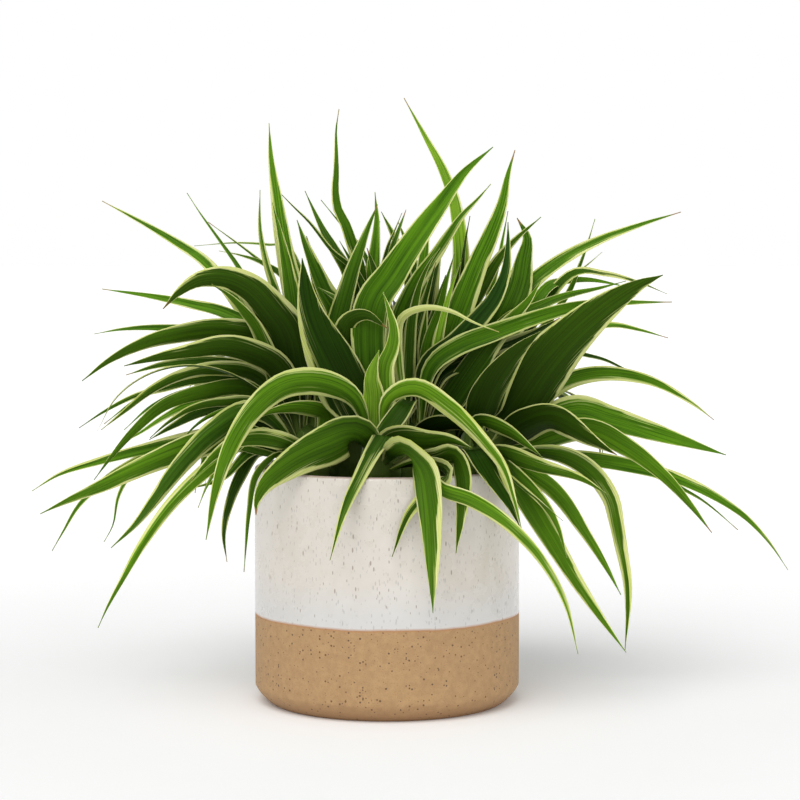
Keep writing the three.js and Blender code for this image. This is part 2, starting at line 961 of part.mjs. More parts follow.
// All leaves in the order in which they are placed: the seen ones, broad before
// narrow, and then the grown ones.
function leafList() {
  const list = [];
  for (const crown of names) {
    for (const [name, leaf] of Object.entries(LEAVES[crown])) {
      const twist = THREE.MathUtils.degToRad(leaf.turn ?? draw(-18, 18));
      list.push({ crown, name, face: 0.85, twist, ...leaf });
    }
  }
  list.sort((a, b) => b.wide - a.wide);
  for (const [crown, fan] of Object.entries(INNER)) {
    list.push(...grownLeaves(crown, "inner", fan, INNER_LEAF, 0.5));
  }
  for (const [crown, fan] of Object.entries(UPRIGHT)) {
    list.push(...grownLeaves(crown, "upright", fan, UPRIGHT_LEAF, 0.5));
  }
  for (const [crown, fan] of Object.entries(HIDDEN)) {
    list.push(...grownLeaves(crown, "hidden", fan, HIDDEN_LEAF, 0));
  }
  return list;
}

// Boxes that can't touch save most of the overlap tests.
function apart(a, b) {
  return [0, 1, 2].some((k) => a.max[k] < b.min[k] || b.max[k] < a.min[k]);
}

// Between its root and its first seen point a leaf passes over the pot's rim.
function overRim(points) {
  const [root, first] = points;
  const fromAxis = (point) => Math.hypot(point.x, point.y);
  if (fromAxis(first) < INNER_RADIUS) return points;
  const share = (INNER_RADIUS - fromAxis(root)) / (fromAxis(first) - fromAxis(root));
  const pass = root.clone().lerp(first, share);
  pass.z = Math.max(pass.z, POT_HEIGHT + RIM_PASS);
  return fromAxis(pass) + 8 > fromAxis(first) ? points : [root, pass, ...points.slice(1)];
}

// A leaf placed from a crown with a bend: its blade, and how much of it runs
// into other pieces. Its own rosette only counts away from the crown.
function attempt(leaf, crown, bend, lift, placed, fixed) {
  const [x, y] = CROWNS[crown];
  const midrib = leaf.seen ? seenMidrib : grownMidrib;
  const root = new THREE.Vector3(x, y, ROOT_LOW);
  const trial = midrib(leaf, root, bend);
  const out = new THREE.Vector3(trial[1].x - x, trial[1].y - y, 0).setLength(ROOT_OFFSET);
  const climb = Math.atan2(trial[1].z - root.z, Math.hypot(trial[1].x - x, trial[1].y - y));
  root.z += (ROOT_HIGH - ROOT_LOW) * THREE.MathUtils.clamp(climb / (Math.PI / 2), 0, 1);
  const points = overRim(midrib(leaf, root.add(out), bend));
  points.forEach((point, i) => {
    if (i > 0) point.z += lift * (1 - (i - 1) / (points.length - 1));
  });
  const shape = prepare(leaf, points);
  const fat = blade(shape, CLEARANCE);
  const box = fat.boundingBox();
  let foreign = 0;
  let own = 0;
  const others = [...fixed, ...placed].filter((other) => other.crown !== crown && !apart(other.box, box));
  for (const other of others) {
    foreign += fat.intersect(other.body).volume();
    if (foreign > 1e-6) break;
  }
  if (foreign <= 1e-6) {
    const core = CORES[crown];
    for (const other of placed.filter((o) => o.crown === crown && !apart(o.box, box))) {
      own += fat.intersect(other.body).subtract(core).volume();
    }
  }
  return { crown, leaf, bend, lift, shape, box, foreign, own };
}

const CORES = {};
for (const crown of names) {
  const [x, y] = CROWNS[crown];
  CORES[crown] = solid(new THREE.SphereGeometry(CORE_RADIUS, 16, 10).translate(x, y, 150));
}

// Crowns in the order of their distance from the one a leaf belongs to.
function nearestCrowns(crown) {
  const [x, y] = CROWNS[crown];
  const far = (name) => Math.hypot(CROWNS[name][0] - x, CROWNS[name][1] - y);
  return [...names].sort((a, b) => far(a) - far(b));
}

// Each leaf takes the smallest bend that keeps it clear of every other rosette,
// the pot and the soil, and as far as may be of its own neighbours. A leaf that
// no bend clears grows from the next crown.
function growAll() {
  const potBody = solid(pot);
  const earth = soilBody();
  const fixed = [
    { crown: "pot", body: potBody, box: potBody.boundingBox() },
    { crown: "soil", body: earth, box: earth.boundingBox() },
  ];
  const stubs = {};
  for (const crown of names) {
    const body = stub(CROWNS[crown]);
    stubs[crown] = body;
    fixed.push({ crown, body, box: body.boundingBox() });
  }
  const placed = [];
  for (const leaf of leafList()) {
    let best = null;
    for (const crown of nearestCrowns(leaf.crown)) {
      for (const lift of LIFTS) {
        for (const bend of BENDS) {
          const least = Math.abs(bend) * 0.4 + lift;
          if (best && best.cost < least) break;
          const tried = attempt(leaf, crown, bend, lift, placed, fixed);
          if (tried.foreign > 1e-6) continue;
          tried.cost = tried.own * 0.5 + least;
          if (!best || tried.cost < best.cost) best = tried;
        }
      }
      if (best) break;
    }
    if (!best) throw new Error("no room for " + leaf.crown + " " + leaf.name);
    best.body = blade(best.shape);
    placed.push(best);
  }
  return { placed, stubs, earth };
}

const { placed, stubs, earth } = growAll();

// --------------------------------------------------------------- the model

const GLAZE = new THREE.MeshStandardMaterial({ color: 0xd9d3ca, roughness: 0.3, metalness: 0 });
const EARTH = new THREE.MeshStandardMaterial({ color: 0x1c1815, roughness: 0.95, metalness: 0 });
const GREENS = {
  front: 0x4d7a2a,
  centre: 0x44702a,
  left: 0x3f6f2c,
  right: 0x3a6626,
  back_left: 0x47742c,
  back_right: 0x527d34,
};

const plant = new THREE.Group();

function addMesh(name, geometry, material) {
  const mesh = new THREE.Mesh(geometry, material);
  mesh.name = name;
  plant.add(mesh);
}

addMesh("pot", pot, GLAZE);
addMesh("soil", geometryOf(earth), EARTH);
for (const crown of names) {
  const blades = placed.filter((leaf) => leaf.crown === crown).map((leaf) => leaf.body);
  const joined = blades.reduce((whole, next) => whole.add(next), stubs[crown]);
  // The largest surface is the rosette's outside, so a hollow sealed between blades is filled.
  const rosette = joined.decompose().reduce((most, next) => (next.volume() > most.volume() ? next : most));
  const green = new THREE.MeshStandardMaterial({ color: GREENS[crown], roughness: 0.45, metalness: 0 });
  addMesh("rosette_" + crown, geometryOf(rosette), green);
}

export default plant;
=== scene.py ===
# %% [markdown]
# # A spider plant in a stoneware pot
#
# This lesson dresses a plain solid model of a potted spider plant for a picture.
# The solids say where everything is: a turned pot, the soil in it and six
# rosettes of strap leaves. Each solid is replaced here by a finer surface of
# the same form, worked out with numpy, and painted with procedural materials.
# Everything is in metres with +Z up, and the pot's underside is at the origin.

# %% Load the solids
import math

import bpy
import numpy as np
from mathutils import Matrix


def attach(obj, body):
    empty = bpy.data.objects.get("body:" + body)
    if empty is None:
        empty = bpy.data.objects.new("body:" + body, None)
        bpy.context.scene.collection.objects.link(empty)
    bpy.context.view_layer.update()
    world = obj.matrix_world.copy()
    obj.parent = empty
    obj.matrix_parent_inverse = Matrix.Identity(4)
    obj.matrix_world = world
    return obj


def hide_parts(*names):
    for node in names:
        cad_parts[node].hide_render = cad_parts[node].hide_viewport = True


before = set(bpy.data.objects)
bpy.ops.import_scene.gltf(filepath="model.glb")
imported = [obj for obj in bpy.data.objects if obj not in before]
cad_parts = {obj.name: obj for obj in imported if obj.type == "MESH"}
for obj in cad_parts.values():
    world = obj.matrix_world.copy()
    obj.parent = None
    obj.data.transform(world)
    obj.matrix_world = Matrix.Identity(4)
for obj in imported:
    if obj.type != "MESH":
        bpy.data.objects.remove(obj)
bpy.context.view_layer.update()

MM = 0.001
print("solids:", sorted(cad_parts))

# %% [markdown]
# ## Camera
#
# The picture is matched first, because the leaves are placed by it. The pot's
# rim, glaze line and foot are ellipses in the photograph, and how flat they are
# gives the height and tilt of a pinhole camera. A long lens from 1.3 m away
# fits them all to within a pixel or two.

# %% Camera
VIEW_DISTANCE = 1300.0
VIEW_HEIGHT = 254.2
VIEW_ASIDE = 7.34
VIEW_DOWN = math.radians(3.68)
FOCAL_PX = 2299.0
MIDDLE_PX = 400.0
PICTURE_PX = 800.0
SENSOR_MM = 36.0

camera_data = bpy.data.cameras.new("camera")
camera_data.sensor_width = SENSOR_MM
camera_data.lens = FOCAL_PX / PICTURE_PX * SENSOR_MM
camera_data.clip_start = 0.05
camera_data.clip_end = 50.0
camera = bpy.data.objects.new("camera", camera_data)
camera.location = (VIEW_ASIDE * MM, -VIEW_DISTANCE * MM, VIEW_HEIGHT * MM)
camera.rotation_euler = (math.pi / 2 - VIEW_DOWN, 0.0, 0.0)
bpy.context.scene.collection.objects.link(camera)
bpy.context.scene.camera = camera
print("lens:", round(camera_data.lens, 1), "mm")

# %% [markdown]
# ## Turning an array into a piece
#
# Every new piece below is a grid of points: rows along it and columns round or
# across it. Blender could spin or loft such shapes with modifiers, but with
# numpy the whole grid is one formula, and the faces are counted off from the
# grid's own indices, so nothing has to be selected or merged by hand.

# %% Grid faces and meshes
def grid_faces(rows, columns, close_columns=False):
    """Quads of a grid whose points are stored row by row.

    Point (r, c) is number r * columns + c. A quad joins (r, c), (r, c + 1),
    (r + 1, c + 1) and (r + 1, c); a closed grid's last column joins its first.
    """
    last = columns if close_columns else columns - 1
    r, c = np.meshgrid(np.arange(rows - 1), np.arange(last), indexing="ij")
    n = (c + 1) % columns
    quads = np.stack([r * columns + c, r * columns + n, (r + 1) * columns + n, (r + 1) * columns + c], -1)
    return quads.reshape(-1, 4)


def make_piece(name, points, quads, material, replaced=(), triangles=None):
    """A smooth mesh object from points in metres and faces by index."""
    faces = [q.tolist() for q in quads]
    if triangles is not None:
        faces += [t.tolist() for t in triangles]
    mesh = bpy.data.meshes.new(name)
    mesh.from_pydata(points.tolist(), [], faces)
    mesh.update()
    mesh.shade_smooth()
    piece = bpy.data.objects.new(name, mesh)
    bpy.context.scene.collection.objects.link(piece)
    mesh.materials.append(material)
    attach(piece, "root")
    if replaced:
        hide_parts(*replaced)
    print(name, len(points), "points,", len(faces), "faces")
    return piece


def set_attribute(piece, name, values):
    """One number for each point of a piece, for its material to read."""
    layer = piece.data.attributes.new(name, "FLOAT", "POINT")
    layer.data.foreach_set("value", np.asarray(values, np.float32))


print("3 by 4 points:", len(grid_faces(3, 4)), "quads open,", len(grid_faces(3, 4, True)), "closed")

# %% [markdown]
# ## Building materials from nodes
#
# A material is a small program of nodes that ends in one shader. The helper
# adds a node, sets its sockets and joins what is wired to them, so that each
# material below reads like a list. Two effects come back in several
# materials, so they are node groups: soft mottling, and scattered specks.

# %% Node helpers
def srgb(red, green, blue):
    """A colour as seen on a screen, 0 to 255, as the linear colour a shader takes."""
    c = np.array([red, green, blue]) / 255.0
    linear = np.where(c <= 0.04045, c / 12.92, ((c + 0.055) / 1.055) ** 2.4)
    return (*linear.tolist(), 1.0)


def add_node(tree, kind, settings=None, **sockets):
    """Adds a node. Settings are its own properties; sockets take a value or another node's output."""
    node = tree.nodes.new(kind)
    for key, value in (settings or {}).items():
        setattr(node, key, value)
    for key, value in sockets.items():
        socket = node.inputs[int(key[1:])] if key[1:].isdigit() else node.inputs[key.replace("_", " ")]
        if isinstance(value, bpy.types.NodeSocket):
            tree.links.new(value, socket)
        else:
            socket.default_value = value
    return node


def maths(tree, operation, a, b=0.0, c=0.0):
    """A Math node's result: operation applied to a, b and c."""
    return add_node(tree, "ShaderNodeMath", {"operation": operation}, i0=a, i1=b, i2=c).outputs[0]


def blend_colour(tree, factor, a, b, mode="MIX"):
    """Colour a where the factor is 0 and b where it is 1."""
    node = add_node(tree, "ShaderNodeMix", {"data_type": "RGBA", "blend_type": mode})
    for socket, value in ((node.inputs[0], factor), (node.inputs[6], a), (node.inputs[7], b)):
        if isinstance(value, bpy.types.NodeSocket):
            tree.links.new(value, socket)
        else:
            socket.default_value = value
    return node.outputs[2]


def ramp_between(tree, value, low, high, out_low=0.0, out_high=1.0):
    """A value's place between low and high, eased and limited to the two outputs."""
    node = add_node(
        tree, "ShaderNodeMapRange", {"interpolation_type": "SMOOTHSTEP"},
        i0=value, i1=low, i2=high, i3=out_low, i4=out_high)
    return node.outputs[0]


def new_material(name):
    """An empty node material with its shader: returns the material, its tree and the shader."""
    material = bpy.data.materials.new(name)
    material.use_nodes = True
    tree = material.node_tree
    tree.nodes.clear()
    output = tree.nodes.new("ShaderNodeOutputMaterial")
    shader = tree.nodes.new("ShaderNodeBsdfPrincipled")
    tree.links.new(shader.outputs[0], output.inputs[0])
    return material, tree, shader


print("half grey on a screen is", round(srgb(128, 128, 128)[0], 3), "in a shader")

# %% Shared effects
def new_group(name, inputs, outputs):
    """A node group with named sockets: (name, type, default) in, (name, type) out."""
    tree = bpy.data.node_groups.new(name, "ShaderNodeTree")
    for socket_name, kind, default in inputs:
        socket = tree.interface.new_socket(name=socket_name, in_out="INPUT", socket_type=kind)
        if default is not None:
            socket.default_value = default
    for socket_name, kind in outputs:
        tree.interface.new_socket(name=socket_name, in_out="OUTPUT", socket_type=kind)
    return tree, tree.nodes.new("NodeGroupInput"), tree.nodes.new("NodeGroupOutput")


def build_mottling():
    """Cloudy change over a surface: two noises of different size, averaged."""
    tree, entry, leave = new_group(
        "mottling",
        [("Vector", "NodeSocketVector", None), ("Scale", "NodeSocketFloat", 40.0)],
        [("Value", "NodeSocketFloat")])
    vector, scale = entry.outputs["Vector"], entry.outputs["Scale"]
    broad = add_node(tree, "ShaderNodeTexNoise", Vector=vector, Scale=scale, Detail=3.0)
    finer = maths(tree, "MULTIPLY", scale, 5.3)
    fine = add_node(tree, "ShaderNodeTexNoise", Vector=vector, Scale=finer, Detail=4.0)
    part = maths(tree, "MULTIPLY", fine.outputs["Fac"], 0.4)
    both = maths(tree, "MULTIPLY_ADD", broad.outputs["Fac"], 0.6, part)
    tree.links.new(ramp_between(tree, both, 0.3, 0.7), leave.inputs["Value"])
    return tree


def build_specks():
    """Scattered specks: cells of a Voronoi pattern, a speck at the heart of some.

    A cell bears a speck if its own random number is over 1 - Share, and the
    speck reaches Size of the cell's width, with an edge of half that again.
    """
    tree, entry, leave = new_group(
        "specks",
        [("Vector", "NodeSocketVector", None), ("Scale", "NodeSocketFloat", 400.0),
         ("Share", "NodeSocketFloat", 0.3), ("Size", "NodeSocketFloat", 0.2)],
        [("Mask", "NodeSocketFloat")])
    cells = add_node(
        tree, "ShaderNodeTexVoronoi", Vector=entry.outputs["Vector"], Scale=entry.outputs["Scale"])
    pick = add_node(tree, "ShaderNodeSeparateColor", Color=cells.outputs["Color"])
    bar = maths(tree, "SUBTRACT", 1.0, entry.outputs["Share"])
    chosen = maths(tree, "GREATER_THAN", pick.outputs[0], bar)
    # Green is a second random number of the cell: it makes some specks smaller.
    size = maths(tree, "MULTIPLY", entry.outputs["Size"], maths(tree, "ADD", pick.outputs[1], 0.35))
    edge = maths(tree, "MULTIPLY", size, 1.5)
    inside = ramp_between(tree, cells.outputs["Distance"], size, edge, 1.0, 0.0)
    tree.links.new(maths(tree, "MULTIPLY", inside, chosen), leave.inputs["Mask"])
    return tree


MOTTLING = build_mottling()
SPECKS = build_specks()


def mottling(tree, vector, scale):
    """Places the mottling group and gives its value."""
    node = add_node(tree, "ShaderNodeGroup", {"node_tree": MOTTLING}, Vector=vector, Scale=scale)
    return node.outputs["Value"]


def specks(tree, vector, scale, share, size):
    """Places the specks group and gives its mask."""
    node = add_node(
        tree, "ShaderNodeGroup", {"node_tree": SPECKS},
        Vector=vector, Scale=scale, Share=share, Size=size)
    return node.outputs["Mask"]


print("node groups:", [g.name for g in bpy.data.node_groups])

# %% [markdown]
# ## Pot
#
# The pot is stoneware dipped upside down in glaze: warm white above, bare tan
# clay below, and a thin rusty line where the glaze ends. A turned pot is one
# profile carried round an axis. The profile here is the solid's own, with its
# corners rounded and the wall a hair uneven, as a hand-finished pot is.

# %% Pot profile
POT_RADIUS = 75.0
POT_HEIGHT = 133.7
POT_WALL = 4.0
POT_FLOOR = 6.0
POT_BASE_RADIUS = 66.0
POT_FOOT_HEIGHT = 10.0
LIP_ROUND = 2.0
GLAZE_LINE = 50.8
INNER_RADIUS = POT_RADIUS - POT_WALL


def arc(radius, height, size, start, end, steps):
    """Points of a circle's arc in the profile plane: centre plus size times (cosine, sine)."""
    angle = np.radians(np.linspace(start, end, steps))
    return np.stack([radius + size * np.cos(angle), height + size * np.sin(angle)], -1)


def straight(start, end, steps):
    """Points spread evenly from start to end, without the ends."""
    share = np.linspace(0, 1, steps + 2)[1:-1, None]
    return np.array(start) * (1 - share) + np.array(end) * share


def foot_curve(steps):
    """The foot's slope: four corners mixed by (1 - t)^3, 3 t (1 - t)^2, 3 t^2 (1 - t) and t^3."""
    t = np.linspace(0, 1, steps)[:, None]
    shares = np.concatenate([(1 - t) ** 3, 3 * t * (1 - t) ** 2, 3 * t ** 2 * (1 - t), t ** 3], 1)
    corners = [
        (POT_BASE_RADIUS, 0), (POT_BASE_RADIUS + 3.0, 1.4),
        (POT_RADIUS - 0.6, POT_FOOT_HEIGHT - 2.8), (POT_RADIUS, POT_FOOT_HEIGHT),
    ]
    return shares @ np.array(corners)


pot_profile = np.concatenate([
    straight((0, 0), (POT_BASE_RADIUS, 0), 8),
    foot_curve(14),
    straight((POT_RADIUS, POT_FOOT_HEIGHT), (POT_RADIUS, POT_HEIGHT - LIP_ROUND), 46),
    arc(POT_RADIUS - LIP_ROUND, POT_HEIGHT - LIP_ROUND, LIP_ROUND, 0, 180, 19),
    straight((INNER_RADIUS, POT_HEIGHT - LIP_ROUND), (INNER_RADIUS, POT_FLOOR), 12),
    straight((INNER_RADIUS, POT_FLOOR), (0, POT_FLOOR), 6),
])
print("pot profile:", len(pot_profile), "points")

# %% Pot surface
POT_SIDES = 192
# How far the wall and the lip are from true, in millimetres.
OVAL, THREE_SIDED, LIP_WANDER = 0.12, 0.07, 0.10

angles = np.linspace(0, 2 * np.pi, POT_SIDES, endpoint=False)
radius, height = pot_profile[:, None, 0], pot_profile[:, None, 1]
# The wall wanders by a tenth of a millimetre or two, and not at all at the base.
free = np.clip(height / 20.0, 0, 1)
wander = free * (OVAL * np.sin(2 * angles + 0.6) + THREE_SIDED * np.sin(3 * angles + height / 21.0))
pot_grid = np.stack([
    (radius + wander) * np.cos(angles),
    (radius + wander) * np.sin(angles),
    height + LIP_WANDER * np.clip((height - 125) / 8, 0, 1) * np.sin(angles + 1.0) + 0 * angles,
], -1)
pot_points = np.concatenate([pot_grid.reshape(-1, 3), [[0, 0, 0], [0, 0, POT_FLOOR]]]) * MM
rows = len(pot_profile)
ring = np.arange(POT_SIDES)
after = (ring + 1) % POT_SIDES
under_hub = np.stack([np.full(POT_SIDES, rows * POT_SIDES), after, ring], -1)
first_of_last = (rows - 1) * POT_SIDES
floor_hub = np.stack([
    np.full(POT_SIDES, rows * POT_SIDES + 1), first_of_last + ring, first_of_last + after], -1)
pot_quads = grid_faces(rows, POT_SIDES, close_columns=True)
print("pot surface:", rows, "rings of", POT_SIDES)

# %% [markdown]
# The finish reads the height above the base to tell glaze from clay. The line
# between them wavers by half a millimetre. Brown iron specks bleed through the
# glaze as short upright streaks, because glaze runs down before it sets, and
# the same specks sit sharp and dark in the bare clay.

# %% Glaze and clay
GLAZE_WHITE = srgb(215, 209, 201)
GLAZE_WARM = srgb(206, 198, 187)
GLAZE_COOL = srgb(202, 205, 207)
SPECK_BROWN = srgb(120, 98, 80)
SPECK_GREY = srgb(150, 146, 142)
LINE_RUST = srgb(176, 122, 76)
CLAY_LIGHT = srgb(182, 147, 104)
CLAY_DARK = srgb(166, 131, 90)
CLAY_FOOT = srgb(140, 102, 68)
CLAY_SPECK = srgb(82, 58, 40)
LIP_BARE = srgb(168, 146, 132)


def glaze_colour(tree, place, above, cloud):
    """Mottled warm white with grey and brown specks, cooler in the lowest three centimetres."""
    glaze = blend_colour(tree, cloud, GLAZE_WARM, GLAZE_WHITE)
    low = ramp_between(tree, above, 0.002, 0.030, 1.0, 0.0)
    glaze = blend_colour(tree, maths(tree, "MULTIPLY", low, 0.55), glaze, GLAZE_COOL)
    run_down = add_node(tree, "ShaderNodeMapping", Vector=place, Scale=(1.0, 1.0, 0.32)).outputs[0]
    grey = specks(tree, run_down, 900.0, 0.50, 0.22)
    glaze = blend_colour(tree, maths(tree, "MULTIPLY", grey, 0.38), glaze, SPECK_GREY)
    brown = specks(tree, run_down, 620.0, 0.26, 0.17)
    return blend_colour(tree, maths(tree, "MULTIPLY", brown, 0.62), glaze, SPECK_BROWN)


def clay_colour(tree, place, height, grain):
    """Mottled tan with sharp iron specks and sand, darker round the foot."""
    clay = blend_colour(tree, grain, CLAY_DARK, CLAY_LIGHT)
    foot = ramp_between(tree, height, 0.0, 0.012, 1.0, 0.0)
    clay = blend_colour(tree, maths(tree, "MULTIPLY", foot, 0.6), clay, CLAY_FOOT)
    iron = specks(tree, place, 640.0, 0.22, 0.24)
    clay = blend_colour(tree, maths(tree, "MULTIPLY", iron, 0.85), clay, CLAY_SPECK)
    sand = specks(tree, place, 1300.0, 0.50, 0.26)
    return blend_colour(tree, maths(tree, "MULTIPLY", sand, 0.35), clay, CLAY_FOOT)


# %% Pot material
def build_pot_material():
    """Glaze over clay, with one mask: how far a point is above the wavering glaze line."""
    material, tree, shader = new_material("speckled_stoneware")
    place = add_node(tree, "ShaderNodeTexCoord").outputs["Object"]
    height = add_node(tree, "ShaderNodeSeparateXYZ", Vector=place).outputs[2]
    waver = add_node(tree, "ShaderNodeTexNoise", Vector=place, Scale=28.0, Detail=3.0).outputs["Fac"]
    line = maths(tree, "MULTIPLY_ADD", waver, 0.0022, (GLAZE_LINE - 1.1) * MM)
    above = maths(tree, "SUBTRACT", height, line)
    glazed = ramp_between(tree, above, -0.0003, 0.0003)
    cloud, grain = mottling(tree, place, 22.0), mottling(tree, place, 260.0)
    glaze = glaze_colour(tree, place, above, cloud)
    clay = clay_colour(tree, place, height, grain)

    # The rusty line lies where the glaze is thinnest, and at the lip it thins too.
    colour = blend_colour(tree, glazed, clay, glaze)
    near_line = ramp_between(tree, maths(tree, "ABSOLUTE", above), 0.0002, 0.0013, 1.0, 0.0)
    colour = blend_colour(tree, maths(tree, "MULTIPLY", near_line, 0.55), colour, LINE_RUST)
    lip = ramp_between(tree, height, (POT_HEIGHT - 1.5) * MM, (POT_HEIGHT - 0.5) * MM)
    worn = maths(tree, "MULTIPLY", lip, maths(tree, "MULTIPLY_ADD", cloud, 0.3, 0.65))
    colour = blend_colour(tree, worn, colour, LIP_BARE)
    tree.links.new(colour, shader.inputs["Base Color"])

    rough = maths(tree, "MULTIPLY_ADD", cloud, 0.10, 0.24)
    rough_clay = maths(tree, "MULTIPLY_ADD", grain, 0.12, 0.68)
    mix = add_node(tree, "ShaderNodeMix", {"data_type": "FLOAT"}, i0=glazed, i2=rough_clay, i3=rough)
    tree.links.new(mix.outputs[0], shader.inputs["Roughness"])
    tree.links.new(maths(tree, "MULTIPLY", glazed, 0.25), shader.inputs["Coat Weight"])
    shader.inputs["Coat Roughness"].default_value = 0.12

    # The glaze's edge stands a little proud, the clay is sandy, and both are a little wavy.
    sandy = maths(tree, "MULTIPLY", grain, maths(tree, "SUBTRACT", 1.0, glazed))
    relief = maths(tree, "MULTIPLY_ADD", glazed, 0.9, maths(tree, "MULTIPLY", sandy, 0.5))
    relief = maths(tree, "MULTIPLY_ADD", cloud, 0.25, relief)
    bump = add_node(tree, "ShaderNodeBump", Strength=0.35, Distance=0.0004, Height=relief)
    tree.links.new(bump.outputs[0], shader.inputs["Normal"])
    return material


make_piece(
    "glazed_pot", pot_points, pot_quads, build_pot_material(), ["pot"],
    triangles=np.concatenate([under_hub, floor_hub]))

# %% [markdown]
# ## Soil
#
# Little of the soil shows between the leaves, nearly black. It is a disc of
# rings whose height is a sum of sine waves of unrelated directions, which
# looks like loose lumps, and a scatter of crumbs lies on it.

# %% Soil surface
SOIL_TOP = 119.0
SOIL_DOME = 2.5
GAP = 0.3
SOIL_RINGS = 46
SOIL_SIDES = 140
# Height of each sine wave and its reach, in millimetres.
SOIL_WAVES = (
    (0.7, 14), (0.6, 10), (0.45, 7), (0.4, 5), (0.3, 3.6), (0.25, 2.8), (0.2, 2.2), (0.15, 1.7))


def soil_height(x, y):
    """Height of the soil: a low dome, lowered at the edge, plus eight sine waves in random directions."""
    share = np.hypot(x, y) / INNER_RADIUS
    level = SOIL_TOP - 0.8 + (SOIL_DOME + 0.4) * (1 - share ** 2)
    waves = np.random.default_rng(5)
    for size, reach in SOIL_WAVES:
        turn, shift = waves.uniform(0, 2 * np.pi, 2)
        level = level + size * np.sin((x * np.cos(turn) + y * np.sin(turn)) * 2 * np.pi / reach / 1.7 + shift)
    return level


soil_radius = INNER_RADIUS - GAP
shares = np.linspace(0.02, 1.0, SOIL_RINGS)[:, None]
around = np.linspace(0, 2 * np.pi, SOIL_SIDES, endpoint=False)[None, :]
soil_x, soil_y = soil_radius * shares * np.cos(around), soil_radius * shares * np.sin(around)
soil_top = np.stack([soil_x, soil_y, soil_height(soil_x, soil_y)], -1)
soil_side = soil_top[-1][None].repeat(3, 0).copy()
soil_side[:, :, 2] = np.array([SOIL_TOP - 10, 60, POT_FLOOR + GAP])[:, None]
soil_grid = np.concatenate([soil_top, soil_side])
rows = len(soil_grid)
hubs = [[0, 0, soil_height(0.0, 0.0)], [0, 0, POT_FLOOR + GAP]]
soil_points = np.concatenate([soil_grid.reshape(-1, 3), hubs]) * MM
ring = np.arange(SOIL_SIDES)
after = (ring + 1) % SOIL_SIDES
top_hub = np.stack([np.full(SOIL_SIDES, rows * SOIL_SIDES), ring, after], -1)
last = (rows - 1) * SOIL_SIDES
low_hub = np.stack([np.full(SOIL_SIDES, rows * SOIL_SIDES + 1), last + after, last + ring], -1)
soil_quads = grid_faces(rows, SOIL_SIDES, close_columns=True)[:, ::-1]
print("soil stands", round(soil_top[..., 2].min(), 1), "to", round(soil_top[..., 2].max(), 1), "mm high")

# %% Soil finish
SOIL_DARK = srgb(24, 19, 16)
SOIL_BROWN = srgb(58, 45, 35)
SOIL_FLECK = srgb(122, 104, 84)


def build_soil_material():
    """Nearly black crumbs with brown mottling and a few pale flecks of bark and grit."""
    material, tree, shader = new_material("potting_soil")
    place = add_node(tree, "ShaderNodeTexCoord").outputs["Object"]
    cloud = mottling(tree, place, 90.0)
    colour = blend_colour(tree, cloud, SOIL_DARK, SOIL_BROWN)
    fleck = specks(tree, place, 380.0, 0.10, 0.22)
    colour = blend_colour(tree, maths(tree, "MULTIPLY", fleck, 0.7), colour, SOIL_FLECK)
    tree.links.new(colour, shader.inputs["Base Color"])
    tree.links.new(maths(tree, "MULTIPLY_ADD", cloud, 0.1, 0.85), shader.inputs["Roughness"])
    grains = add_node(tree, "ShaderNodeTexNoise", Vector=place, Scale=900.0, Detail=3.0).outputs["Fac"]
    bump = add_node(tree, "ShaderNodeBump", Strength=0.8, Distance=0.0012, Height=grains)
    tree.links.new(bump.outputs[0], shader.inputs["Normal"])
    return material


SOIL_MATERIAL = build_soil_material()
make_piece(
    "soil_bed", soil_points, soil_quads, SOIL_MATERIAL, ["soil"],
    triangles=np.concatenate([top_hub, low_hub]))

# %% Crumbs of soil
CRUMBS = 420
CRUMB_ROWS, CRUMB_COLUMNS = 5, 7
lumps = np.random.default_rng(11)


def crumb_cloud():
    """Lumps on the soil: spheres of few faces, squashed and dented by random factors.

    A sphere's point is (sin p cos a, sin p sin a, cos p), with p down from the
    pole and a round it. Each lump scales that by its own three sizes.
    """
    count = CRUMBS
    spot = np.sqrt(lumps.uniform(0.0, 0.93, count)) * soil_radius
    turn = lumps.uniform(0, 2 * np.pi, count)
    x, y = spot * np.cos(turn), spot * np.sin(turn)
    size = lumps.uniform(0.6, 2.1, (count, 1)) * lumps.uniform(0.6, 1.1, (count, 3))
    p = np.linspace(0.25, np.pi - 0.25, CRUMB_ROWS)[:, None]
    a = np.linspace(0, 2 * np.pi, CRUMB_COLUMNS, endpoint=False)[None, :]
    ball = np.stack([np.sin(p) * np.cos(a), np.sin(p) * np.sin(a), np.cos(p) + 0 * a], -1)
    dents = lumps.uniform(0.78, 1.15, (count, CRUMB_ROWS, CRUMB_COLUMNS, 1))
    centre = np.stack([x, y, soil_height(x, y) + size[:, 2] * 0.3], -1)
    return centre[:, None, None, :] + ball * dents * size[:, None, None, :]


crumbs = crumb_cloud()
per_crumb = CRUMB_ROWS * CRUMB_COLUMNS
offsets = np.arange(CRUMBS)[:, None, None] * per_crumb
crumb_quads = (grid_faces(CRUMB_ROWS, CRUMB_COLUMNS, True)[None, :, ::-1] + offsets).reshape(-1, 4)
rim = np.arange(1, CRUMB_COLUMNS - 1)
cap = np.stack([0 * rim, rim, rim + 1], -1)
end_cap = cap[:, ::-1] + (CRUMB_ROWS - 1) * CRUMB_COLUMNS
crumb_caps = (np.concatenate([cap, end_cap])[None] + offsets).reshape(-1, 3)
make_piece(
    "soil_crumbs", crumbs.reshape(-1, 3) * MM, crumb_quads, SOIL_MATERIAL,
    triangles=crumb_caps)

